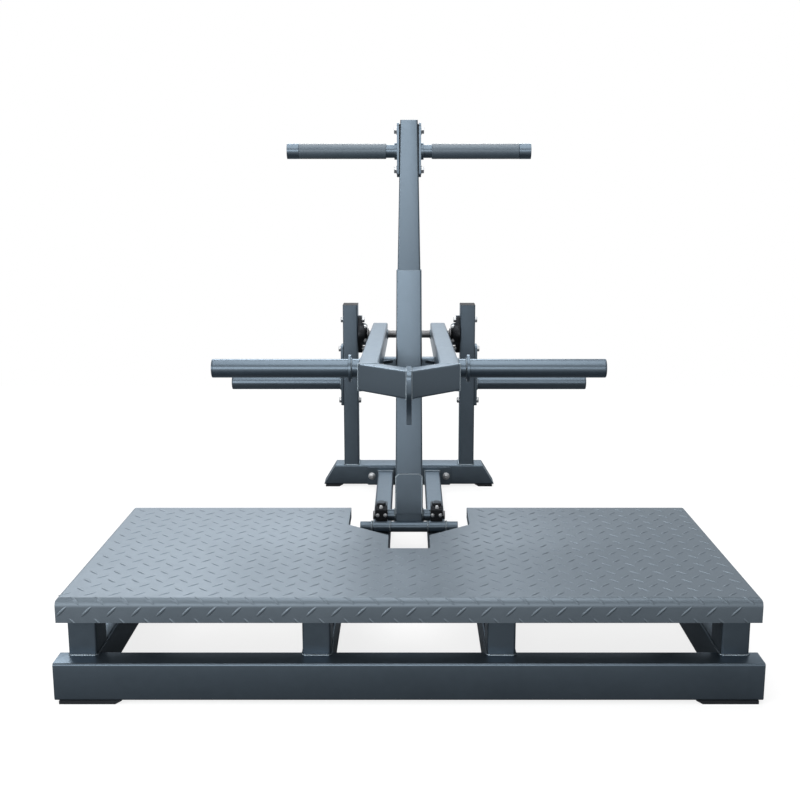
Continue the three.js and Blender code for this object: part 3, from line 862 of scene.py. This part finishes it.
@dataclass(frozen=True)
class HexBolt:
    """A hexagon bolt or nut: washer, chamfered head and, on a nut, the thread's end."""

    across_flats: float
    height: float
    shank: float
    washer_share: float = 0.16
    washer_reach: float = 1.18
    washer_top: float = 1.12
    washer_rim: float = 0.8
    chamfer_share: float = 0.12
    thread_root: float = 0.7

    def head(self, thread: float = 0.0) -> BMesh:
        """A head that stands on the plane X = 0 and points along +X.

        Args:
            thread: how far the thread's end stands out of it.

        Returns:
            The closed pieces.
        """
        radius = self.across_flats / 2 / math.cos(math.pi / 6)
        washer = self.height * self.washer_share
        middle = at(washer + (self.height - washer) / 2, 0, 0)
        flats = bmesh.new()
        bmesh.ops.create_cone(
            flats, cap_ends=True, segments=6, radius1=radius, radius2=radius,
            depth=self.height - washer, matrix=middle @ turn(90, "Y"),
        )
        near_top = self.height * 0.9
        rim = [edge for edge in flats.edges if all(v.co.x > near_top for v in edge.verts)]
        bmesh.ops.bevel(
            flats, geom=rim, offset=radius * self.chamfer_share, affect="EDGES", segments=2,
            profile=0.5, material=-1,
        )
        reach = radius * self.washer_reach
        disc = turned([
            (0, 0), (0, reach), (washer * self.washer_rim, reach),
            (washer, radius * self.washer_top), (washer, 0),
        ], 32)
        parts = [flats, disc]
        if thread:
            root, end = self.height * self.thread_root, self.height + thread
            thick, chamfer = self.shank / 2, 1 * MM
            parts.append(turned([
                (root, 0), (root, thick), (end - chamfer, thick), (end, thick - chamfer), (end, 0),
            ], 24))
        return joined(parts)

    def through(self, node: str, body: Body, place: Matrix, start: float, end: float) -> None:
        """Replaces a bolt that lies along X in its own frame.

        Args:
            node: the node it replaces.
            body: what it rides on.
            place: the bolt's own frame.
            start: where the head's seat lies along X.
            end: where the nut's seat lies along X.
        """
        shank = rod(start, end, self.shank / 2, 20)
        head = placed(self.head(), at(start, 0, 0) @ turn(180, "Z"))
        nut = placed(self.head(), at(end, 0, 0))
        bolt = Piece(f"{node}_zinc", body, Slot.ZINC, node, smooth_below=32)
        bolt.add(joined([shank, head, nut]), place)


M12 = HexBolt(18 * MM, 8 * MM, 12 * MM)
COVER_SCREW = HexBolt(9 * MM, 6 * MM, 6 * MM)
BLOCK_SCREW = HexBolt(8 * MM, 5 * MM, 5 * MM)
FACING_FRONT = turn(-90, "Z")


def horn_profile(root: float, tip: float, radius: float) -> list[tuple[float, float]]:
    """The outline of a horn for weight plates, with the groove of its cap.

    Args:
        root: where it starts along X.
        tip: where it ends along X.
        radius: its radius.

    Returns:
        Pairs of distance along X and radius.
    """
    groove = 0.5 * MM
    seam = tip - 4 * MM
    return [
        (root, 0), (root, radius), (seam - groove, radius), (seam, radius - groove),
        (seam + groove, radius), (tip - 2 * MM, radius), (tip - 0.6 * MM, radius - 1 * MM),
        (tip, radius - 4 * MM), (tip, 0),
    ]


@dataclass
class Rear:
    """Floor beams, tower base, towers, bearings and storage horns."""

    beams: tuple[str, ...] = ("spine_beam_left", "spine_beam_right")
    base: tuple[str, ...] = ("spine_end_plate", "tower_base")
    towers: tuple[str, ...] = ("tower_left", "tower_right")
    plates: tuple[str, ...] = ("storage_plate_left", "storage_plate_right")
    cap_inset: float = 0.6 * MM
    cap_thickness: float = 0.8 * MM
    cap_lift: float = 0.5 * MM
    flange_face: float = 13.6 * MM
    cover: Outline = (
        (-6, 27), (-6, 39), (-21, 37), (-27, 34), (-30, 30), (-30, 22), (-26.5, 21.5),
        (-26.5, 27), (-6, 27),
    )
    nipple: Outline = ((0, 0), (0, 3), (3, 3), (3.5, 2), (7, 1.6), (8, 0))
    nipple_place: tuple[float, float] = (-18 * MM, 26 * MM)
    nipple_tilt: float = -120.0
    screw_place: tuple[float, float] = (-24 * MM, 35.5 * MM)
    screw_angles: tuple[float, ...] = (38, 118, 200)
    plate_thickness: float = 8 * MM
    bolt_reach: float = 49.5 * MM
    end_bolt_across: float = 126.5 * MM
    storage_bolt_height: float = 296 * MM
    storage_horn_height: float = 357 * MM
    horn_radius: float = 24 * MM

    def build(self) -> None:
        """Adds the rear frame."""
        self.hub = PLACES.pivot("lever_pivot")
        refine(self.beams + self.base + self.towers + self.plates, Body.FRAME, Slot.SLATE)
        for side, mirror in SIDES.items():
            self._cap(side)
            self._bearing(side, mirror)
            self._bolts(side, mirror)
            self._storage_horn(side, mirror)
        self._welds()

    def _cap(self, side: str) -> None:
        """Adds the dark cap on a tower.

        Args:
            side: left or right.
        """
        low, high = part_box(f"tower_{side}")
        middle = (low + high) / 2
        inset = self.cap_inset
        size = (high.x - low.x - inset, high.y - low.y - inset, self.cap_thickness)
        cap = block(at(middle.x, middle.y, high.z + self.cap_lift), size)
        Piece(f"tower_cap_{side}", Body.FRAME, Slot.FOOT, edge=0.3 * MM).add(cap)

    def _bearing(self, side: str, mirror: Matrix) -> None:
        """Dresses a flange bearing with its cover, cover screws and grease nipple.

        Args:
            side: left or right.
            mirror: which side it goes to.
        """
        refine([f"lever_bearing_{side}"], Body.FRAME, Slot.IRON, 1.4 * MM)
        hub = mirror @ at(PLACES.tower_inner - GAP, self.hub.y, self.hub.z)
        along, out = self.nipple_place
        Piece(f"grease_nipple_{side}", Body.FRAME, Slot.ZINC, smooth_below=50).add(
            turned(in_mm(self.nipple), 16), hub @ at(along, 0, out) @ turn(self.nipple_tilt, "Y")
        )
        Piece(f"bearing_cover_{side}", Body.FRAME, Slot.IRON).add(turned(in_mm(self.cover)), hub)
        along, out = self.screw_place
        stand = at(along, 0, out) @ turn(-90, "Y")
        screws = [
            placed(COVER_SCREW.head(), hub @ turn(angle, "X") @ stand)
            for angle in self.screw_angles
        ]
        Piece(f"bearing_screws_{side}", Body.FRAME, Slot.ZINC, smooth_below=32).add(joined(screws))

    def _bolts(self, side: str, mirror: Matrix) -> None:
        """Adds the bolts through a tower and the one in the end plate.

        Args:
            side: left or right.
            mirror: which side they go to.
        """
        inner = PLACES.tower_inner - self.flange_face
        outer = PLACES.tower_outer + GAP
        plate_face = outer + self.plate_thickness + GAP
        rows = {
            "bearing_bolt": (self.hub.z + self.bolt_reach, inner, outer),
            "shared_bolt": (self.hub.z - self.bolt_reach, inner, plate_face),
            "horn_plate_bolt": (self.storage_bolt_height, PLACES.tower_inner - GAP, plate_face),
        }
        for name, (height, start, end) in rows.items():
            place = mirror @ at(0, self.hub.y, height)
            M12.through(f"{name}_{side}", Body.FRAME, place, start, end)
        low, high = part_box("spine_end_plate")
        seat = at(self.end_bolt_across, low.y - GAP, (low.z + high.z) / 2)
        node = f"end_plate_bolt_{side}"
        Piece(f"{node}_zinc", Body.FRAME, Slot.ZINC, node, smooth_below=32).add(
            M12.head(thread=2 * MM), mirror @ seat @ FACING_FRONT
        )

    def _storage_horn(self, side: str, mirror: Matrix) -> None:
        """Adds a storage horn with its weld.

        Args:
            side: left or right.
            mirror: which side it goes to.
        """
        low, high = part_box("storage_horn_right")
        place = mirror @ at(0, self.hub.y, self.storage_horn_height)
        node = f"storage_horn_{side}"
        horn = turned(horn_profile(low.x, high.x, self.horn_radius), 64)
        Piece(f"{node}_round", Body.FRAME, Slot.SLATE, node).add(horn, place)
        bead = WELD.ring(low.x + 1 * MM, self.horn_radius + 1 * MM, place)
        add_welds(f"storage_horn_weld_{side}", Body.FRAME, [bead])

    def _welds(self) -> None:
        """Adds the welds of the towers' feet, the floor beams' ends and the stop bar."""
        beads = base_welds(self.towers) + end_welds(self.beams)
        low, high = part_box("stop_bar")
        centre = Matrix.Translation((low + high) / 2)
        front_corners = slice(8, 33)
        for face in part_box("spine_beam_right"):
            for sign in (-1, 1):
                path = ring_path(sign * face.x, (high.z - low.z) / 2, centre)
                beads.append(WELD.bead(path[front_corners]))
        add_welds("rear_welds", Body.FRAME, beads)


@dataclass
class Lever:
    """The weight lever: rails, nose, hook, crossmember, shaft and weight horns."""

    tubes: tuple[str, ...] = (
        "lever_rail_left", "lever_rail_right", "lever_nose_left", "lever_nose_right",
        "lever_crossmember",
    )
    rail_outer: float = 123 * MM
    rail_inner: float = 73 * MM
    half_height: float = 32.5 * MM
    reach: float = 1113 * MM
    nose_reach: float = 147 * MM
    hook_half: float = 6.3 * MM
    hook_front: float = 4 * MM
    hook_run: float = 62 * MM
    cross_reach: float = 566 * MM
    cross_half: float = 20 * MM
    cross_weld: tuple[float, float] = (-30 * MM, -14 * MM)
    horn_reach: float = 933 * MM
    horn_radius: float = 24 * MM
    horn_tip: float = 505 * MM
    collar_start: float = 148 * MM
    collar_end: float = 155 * MM
    collar_radius: float = 35 * MM
    shaft_radius: float = 12.5 * MM
    shaft_half: float = 168.7 * MM
    ring_radius: float = 20 * MM
    ring_start: float = 137 * MM

    def build(self) -> None:
        """Adds the lever."""
        self.place = PLACES.lever()
        refine(self.tubes, Body.LEVER, Slot.SLATE)
        refine(["lever_hook"], Body.LEVER, Slot.SLATE, 1.6 * MM)
        self._shaft()
        for side, mirror in SIDES.items():
            self._horn(side, mirror)
        self._welds()

    def _shaft(self) -> None:
        """Adds the shaft with its bearing rings."""
        start, end, rim, soft = self.ring_start, self.shaft_half, self.ring_radius, 1 * MM
        half = [
            (0, self.shaft_radius), (start - 2 * soft, self.shaft_radius),
            (start - soft, rim - 2 * soft), (start, rim), (end - soft, rim), (end, rim - soft),
            (end, 0),
        ]
        other = [(-along, radius) for along, radius in reversed(half)]
        Piece("lever_shaft_turned", Body.LEVER, Slot.STEEL, "lever_shaft").add(
            turned(other[:-1] + half, 48), self.place
        )

    def _horn(self, side: str, mirror: Matrix) -> None:
        """Adds a weight horn with its collar and welds.

        Args:
            side: left or right.
            mirror: which side it goes to.
        """
        place = mirror @ self.place @ at(0, -self.horn_reach, 0)
        root = self.rail_outer + GAP
        radius, rim = self.horn_radius, self.collar_radius
        start, end, soft = self.collar_start, self.collar_end, 1 * MM
        profile = horn_profile(root, self.horn_tip, radius)
        profile[2:2] = [
            (start, radius), (start, rim - soft), (start + soft / 2, rim),
            (end - soft / 2, rim), (end, rim - soft), (end, radius),
        ]
        node = f"weight_horn_{side}"
        Piece(f"{node}_round", Body.LEVER, Slot.SLATE, node).add(turned(profile, 64), place)
        add_welds(f"weight_horn_welds_{side}", Body.LEVER, [
            WELD.ring(root + 1.5 * MM, radius + 1 * MM, place),
            WELD.ring(start - 0.5 * MM, radius + 0.5 * MM, place),
        ])

    def _welds(self) -> None:
        """Adds the welds of the nose, the hook plate, the crossmember and the shaft."""
        fine = Weld(radius=1.7 * MM, ripple=2.8 * MM, step=1.0 * MM)
        mitre = math.tan(math.atan2(self.rail_outer, self.nose_reach) / 2)
        inner_y = -self.reach + (self.rail_outer - self.rail_inner) * mitre
        nose = -self.reach - self.nose_reach + self.hook_front
        cross = (-self.cross_reach - self.cross_half, -self.cross_reach + self.cross_half)
        edge = self.half_height
        beads = []
        for sign in (-1, 1):
            inner, outer = sign * self.rail_inner, sign * self.rail_outer
            side = sign * self.hook_half
            runs = [
                [(inner, inner_y, -edge), (outer, -self.reach, -edge),
                 (outer, -self.reach, edge), (inner, inner_y, edge)],
                [(side, nose, -edge), (side, nose, edge)],
            ]
            runs += [[(side, nose, z), (side, nose + self.hook_run, z)] for z in (-edge, edge)]
            runs += [[(inner, y, z) for z in self.cross_weld] for y in cross]
            beads += [fine.bead([self.place @ Vector(point) for point in run]) for run in runs]
            beads.append(WELD.ring(
                sign * (self.rail_inner - 0.6 * MM), self.shaft_radius + 1.5 * MM, self.place,
            ))
        add_welds("lever_welds", Body.LEVER, beads)


@dataclass
class Column:
    """The hinged handle column, its catch, its foot blocks and its grips."""

    depth: float = 60 * MM
    shaft_radius: float = 12.5 * MM
    shaft_half: float = 103 * MM
    hub_radius: float = 17 * MM
    hub_half: float = 61.5 * MM
    hub_weld: float = 39.5 * MM
    catch_half: float = 25 * MM
    catch_back: float = 31 * MM
    catch_span: tuple[float, float] = (320 * MM, 404 * MM)
    bend_half: tuple[float, float] = (33.5 * MM, 28.5 * MM)
    doubler_half: float = 37 * MM
    doubler_thickness: float = 2.5 * MM
    doubler_corner: float = 8 * MM
    doubler_span: tuple[float, float] = (9 * MM, 123 * MM)
    handle_height: float = 327 * MM
    plate_lowering: float = 3 * MM
    bolt_spread: float = 107 * MM
    # painted shade: a black block fills the gap between a side plate and the column
    shade_filler_face: float = 27.2 * MM
    shade_filler_depth: float = 47 * MM
    shade_filler_span: tuple[float, float] = (262 * MM, 399 * MM)
    top_half: float = 24.1 * MM
    top_height: float = 410 * MM
    taper: float = 8 / 410
    bar_radius: float = 18 * MM
    grip_radius: float = 21 * MM
    grip_start: float = 63 * MM
    grip_end: float = 304 * MM
    knurl_rows: int = 150
    knurl_sides: int = 72
    knurl_depth: float = 0.35 * MM
    knurl_turns: int = 18
    knurl_pitch: float = 4.8 * MM
    block_seat: float = 6.5 * MM
    boss_size: tuple[float, float, float] = (26 * MM, 24 * MM, 13 * MM)
    boss_back: float = 21 * MM
    corner_screw: float = 4.3 * MM
    front_screws: tuple[float, float] = (5 * MM, 7 * MM)
    front_screw_drop: float = 27 * MM

    def build(self) -> None:
        """Adds the column."""
        self.lower = PLACES.column()
        self.upper = PLACES.upper()
        refine(["column_lower", "column_upper"], Body.COLUMN, Slot.SLATE)
        refine(["column_catch"], Body.COLUMN, Slot.SLATE, 1.2 * MM)
        self._foot()
        self._doubler()
        for side, mirror in SIDES.items():
            self._handle(side, mirror)
            self._shade_filler(side, mirror)
            self._foot_block(side, mirror)
        self._handle_bolts()
        self._welds()

    def _foot(self) -> None:
        """Adds the hub, the shaft and the stop bar."""
        Piece("column_hub_round", Body.COLUMN, Slot.SLATE, "column_hub", edge=0.8 * MM).add(
            rod(-self.hub_half, self.hub_half, self.hub_radius, 48), self.lower
        )
        Piece("column_shaft_turned", Body.COLUMN, Slot.STEEL, "column_shaft").add(
            rod(-self.shaft_half, self.shaft_half, self.shaft_radius, 40, 1 * MM), self.lower
        )
        low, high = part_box("stop_bar")
        centre = at(0, (low.y + high.y) / 2, (low.z + high.z) / 2)
        Piece("stop_bar_round", Body.FRAME, Slot.SLATE, "stop_bar").add(
            rod(low.x, high.x, (high.z - low.z) / 2, 48, 1 * MM), centre
        )

    def _doubler(self) -> None:
        """Adds the plate that is welded on the front of the column's foot."""
        low, high = self.doubler_span
        side, corner = self.doubler_half, self.doubler_corner
        face = -self.depth / 2
        middle = at(0, face - self.doubler_thickness / 2, (low + high) / 2)
        plate = block(self.lower @ middle, (2 * side, self.doubler_thickness, high - low))
        inverse = self.lower.inverted()
        near = 1 * MM
        top = []
        for edge in plate.edges:
            first, last = (inverse @ vertex.co for vertex in edge.verts)
            if min(first.z, last.z) > high - near and abs(first.x - last.x) < near:
                top.append(edge)
        bmesh.ops.bevel(
            plate, geom=top, offset=corner, affect="EDGES", segments=1, profile=0.5, material=-1,
        )
        Piece("column_foot_plate", Body.COLUMN, Slot.SLATE, edge=0.9 * MM).add(plate)
        path = [
            (-side, low), (-side, high - corner), (corner - side, high), (side - corner, high),
            (side, high - corner), (side, low),
        ]
        bead = WELD.bead([self.lower @ Vector((x, face - 0.6 * MM, z)) for x, z in path])
        add_welds("column_foot_plate_weld", Body.COLUMN, [bead])

    def _handle(self, side: str, mirror: Matrix) -> None:
        """Adds a side plate with its bar and the textured grip on it.

        Args:
            side: left or right.
            mirror: which side they go to.
        """
        refine([f"handle_{side}"], Body.COLUMN, Slot.SLATE, 1.2 * MM)
        start, end, soft = self.grip_start, self.grip_end, 1 * MM
        bore, rim = self.bar_radius + GAP, self.grip_radius - soft
        rows = [
            (start + soft + (end - start - 2 * soft) * row / self.knurl_rows,
             self.grip_radius - self.knurl_depth)
            for row in range(self.knurl_rows + 1)
        ]
        profile = [(start, bore), (start, rim), *rows, (end, rim), (end, bore)]
        grip = turned(profile, self.knurl_sides)
        self._knurl(grip)
        node = f"grip_{side}"
        Piece(f"{node}_textured", Body.COLUMN, Slot.GRIP, node, smooth_below=60).add(
            grip, mirror @ self.upper @ at(0, 0, self.handle_height)
        )

    def _knurl(self, grip: BMesh) -> None:
        """Raises a diamond pattern on a grip.

        Args:
            grip: the sleeve, about X.
        """
        sleeve, near = self.grip_radius - self.knurl_depth, 0.05 * MM
        for vertex in grip.verts:
            radius = math.hypot(vertex.co.y, vertex.co.z)
            if abs(radius - sleeve) > near:
                continue
            angle = math.atan2(vertex.co.z, vertex.co.y) * self.knurl_turns
            along = (vertex.co.x - self.grip_start) / self.knurl_pitch * math.pi
            lift = math.cos(angle + along) * math.cos(angle - along)
            factor = 1 + self.knurl_depth * max(lift, 0) / radius
            vertex.co.y *= factor
            vertex.co.z *= factor

    def _shade_filler(self, side: str, mirror: Matrix) -> None:
        """Adds a black rubber block in the wedge between the column and a side plate, as painted
        shade: it stands in for the shadow in the gap there.

        Args:
            side: left or right.
            mirror: which side it goes to.
        """
        low, high = self.shade_filler_span
        middle = at(self.shade_filler_face / 2, 0, (low + high) / 2)
        shade_filler = block(middle, (self.shade_filler_face, self.shade_filler_depth, high - low))
        for vertex in shade_filler.verts:
            if vertex.co.x < self.shade_filler_face / 2:
                vertex.co.x = self.top_half + self.taper * (self.top_height - vertex.co.z)
        # painted shade: black foot rubber stands where there is only the shadow between plate and
        # column
        Piece(f"handle_painted_shade_{side}", Body.COLUMN, Slot.FOOT).add(shade_filler, mirror @ self.upper)

    def _foot_block(self, side: str, mirror: Matrix) -> None:
        """Adds a foot block with its boss and screws, in place of the node's bolt heads.

        Args:
            side: left or right.
            mirror: which side they go to.
        """
        low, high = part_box("foot_block_right")
        seat = high.z - self.block_seat
        centre = (low.x + high.x) / 2
        node = f"foot_block_{side}"
        body = cleaned(node)
        capped_off(body, seat - 0.4 * MM, 1)
        Piece(f"{node}_finished", Body.FRAME, Slot.IRON, node, edge=1.5 * MM).add(body)
        boss = block(at(centre, low.y + self.boss_back, seat), self.boss_size)
        Piece(f"foot_block_boss_{side}", Body.FRAME, Slot.IRON, edge=4 * MM).add(boss, mirror)
        drop = self.corner_screw
        corner = at(centre, low.y + drop, seat - drop) @ turn(-45, "X") @ FACING_FRONT
        heads = [placed(BLOCK_SCREW.head(thread=2 * MM), corner)]
        left, right = self.front_screws
        for x in (low.x + left, high.x - right):
            place = at(x, low.y, seat - self.front_screw_drop) @ FACING_FRONT
            heads.append(placed(BLOCK_SCREW.head(), place))
        Piece(f"foot_block_screws_{side}", Body.FRAME, Slot.ZINC, smooth_below=32).add(
            joined(heads), mirror
        )

    def _handle_bolts(self) -> None:
        """Adds the two bolts through the side plates."""
        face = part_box("handle_bolt_lower")[1].x - M12.height
        middle = self.handle_height + self.plate_lowering
        for name, share in (("lower", -0.5), ("upper", 0.5)):
            place = self.upper @ at(0, 0, middle + share * self.bolt_spread)
            M12.through(f"handle_bolt_{name}", Body.COLUMN, place, -face, face)

    def _welds(self) -> None:
        """Adds the welds of the bend, the hub and the catch."""
        fine = Weld(radius=1.5 * MM, ripple=2.6 * MM, step=1.0 * MM)
        across, deep = self.bend_half
        bend = box_path((-across, -deep), (across, deep), 0)
        beads = [fine.bead([self.upper @ point for point in bend], True)]
        for sign in (-1, 1):
            beads.append(WELD.ring(sign * self.hub_weld, self.hub_radius + 1 * MM, self.lower))
            beads.append(WELD.bead([
                self.lower @ Vector((sign * self.catch_half, self.catch_back, z))
                for z in self.catch_span
            ]))
        add_welds("column_welds", Body.COLUMN, beads)


@dataclass(frozen=True)
class Softbox:
    """A flat lamp that points at a target."""

    name: str
    place: tuple[float, float, float]
    target: tuple[float, float, float]
    size: tuple[float, float]
    watts: float

    def add(self) -> None:
        """Adds the lamp."""
        data = bpy.data.lights.new(self.name, "AREA")
        data.shape = "RECTANGLE"
        data.size, data.size_y = self.size
        data.energy = self.watts
        lamp = bpy.data.objects.new(self.name, data)
        bpy.context.scene.collection.objects.link(lamp)
        lamp.location = self.place
        way = Vector(self.target) - Vector(self.place)
        lamp.rotation_euler = way.to_track_quat("-Z", "Y").to_euler()


@dataclass
class Studio:
    """Pale floor, soft lamps and the camera at the photograph's angle."""

    focal_px: float = 1140.0
    image_px: float = 800.0
    axis_px: float = 409.0
    pitch: float = math.radians(11.4)
    distance: float = 2148 * MM
    height: float = 1064 * MM
    sensor: float = 36.0
    view_end: float = 200.0
    floor_near: float = 1.5
    floor_far: float = 2.6
    floor_glow: float = 0.82
    floor_in_satin: float = 0.05
    floor_lit: Colour = (0.14, 0.145, 0.15)
    floor_shown: Colour = (0.95, 0.95, 0.95)
    sky: Colour = (0.93, 0.96, 1.0)
    sky_strength: float = 0.24
    lamps: tuple[Softbox, ...] = (
        Softbox("overhead", (0.0, -0.5, 3.4), (0.0, -0.5, 0.0), (2.4, 4.0), 150.0),
        Softbox("rear_softbox", (-1.1, 3.9, 3.1), (0.0, -0.4, 0.2), (4.0, 1.7), 160.0),
        Softbox("front_strip", (-1.2, -14.0, 3.7), (0.0, 0.2, 0.8), (8.0, 3.4), 1080.0),
        Softbox("left_key", (-2.3, -2.3, 1.2), (-0.5, -0.7, 0.2), (1.3, 1.0), 60.0),
    )

    def build(self) -> None:
        """Adds the camera, the floor, the world and the lamps."""
        self._camera()
        self._floor()
        self._world()
        for lamp in self.lamps:
            lamp.add()
        bpy.context.scene.view_settings.view_transform = "Standard"

    def _camera(self) -> None:
        """Places the camera."""
        data = bpy.data.cameras.new("camera")
        data.sensor_fit = "HORIZONTAL"
        data.sensor_width = self.sensor
        data.lens = self.sensor * self.focal_px / self.image_px
        data.shift_x = -(self.axis_px - self.image_px / 2) / self.image_px
        data.clip_end = self.view_end
        camera = bpy.data.objects.new("camera", data)
        bpy.context.scene.collection.objects.link(camera)
        camera.location = (0, PLACES.front - self.distance, self.height)
        camera.rotation_euler = (math.pi / 2 - self.pitch, 0, 0)
        bpy.context.scene.camera = camera

    def _floor(self) -> None:
        """Adds a pale floor that shows white and keeps the machine's shadow."""
        work = bmesh.new()
        middle = at(0, (self.floor_far - self.floor_near) / 2, 0)
        size = (self.floor_far + self.floor_near) / 2
        bmesh.ops.create_grid(work, x_segments=2, y_segments=2, size=size, matrix=middle)
        floor = bpy.data.objects.new("floor", to_mesh(work))
        bpy.context.scene.collection.objects.link(floor)
        shader = Shader("pale_floor")
        seen = shader.seen(self.floor_in_satin)
        shader.dress({
            "Base Color": shader.blend(seen, self.floor_lit, self.floor_shown),
            "Roughness": 0.9,
            "Specular IOR Level": 0.0,
        })
        matt = Sock(shader, shader.surface.outputs[0])
        glow = shader.node("ShaderNodeEmission", {}, {"Color": (1, 1, 1, 1), "Strength": 1.0})[0]
        shares = {0: seen * self.floor_glow, 1: matt, 2: glow}
        mixed = shader.node("ShaderNodeMixShader", {}, shares)[0]
        shader.feed(shader.nodes["Material Output"].inputs["Surface"], mixed)
        floor.data.materials.append(shader.material)

    def _world(self) -> None:
        """Lights the machine evenly and shows white behind it."""
        world = bpy.data.worlds.new("studio")
        bpy.context.scene.world = world
        world.use_nodes = True
        tree = Tree(world.node_tree)
        soft, white = [
            tree.node("ShaderNodeBackground", {}, {"Color": (*colour, 1), "Strength": strength})[0]
            for colour, strength in ((self.sky, self.sky_strength), ((1, 1, 1), 1.0))
        ]
        mixed = tree.node("ShaderNodeMixShader", {}, {0: tree.seen(), 1: soft, 2: white})[0]
        tree.feed(tree.nodes["World Output"].inputs["Surface"], mixed)


def main() -> None:
    """Builds the machine and its studio."""
    logging.basicConfig(level=logging.INFO, format="%(name)s: %(message)s")
    for part in (Studio(), Platform(), Deck(), Rear(), Lever(), Column()):
        part.build()


if __name__ == "__main__":
    main()
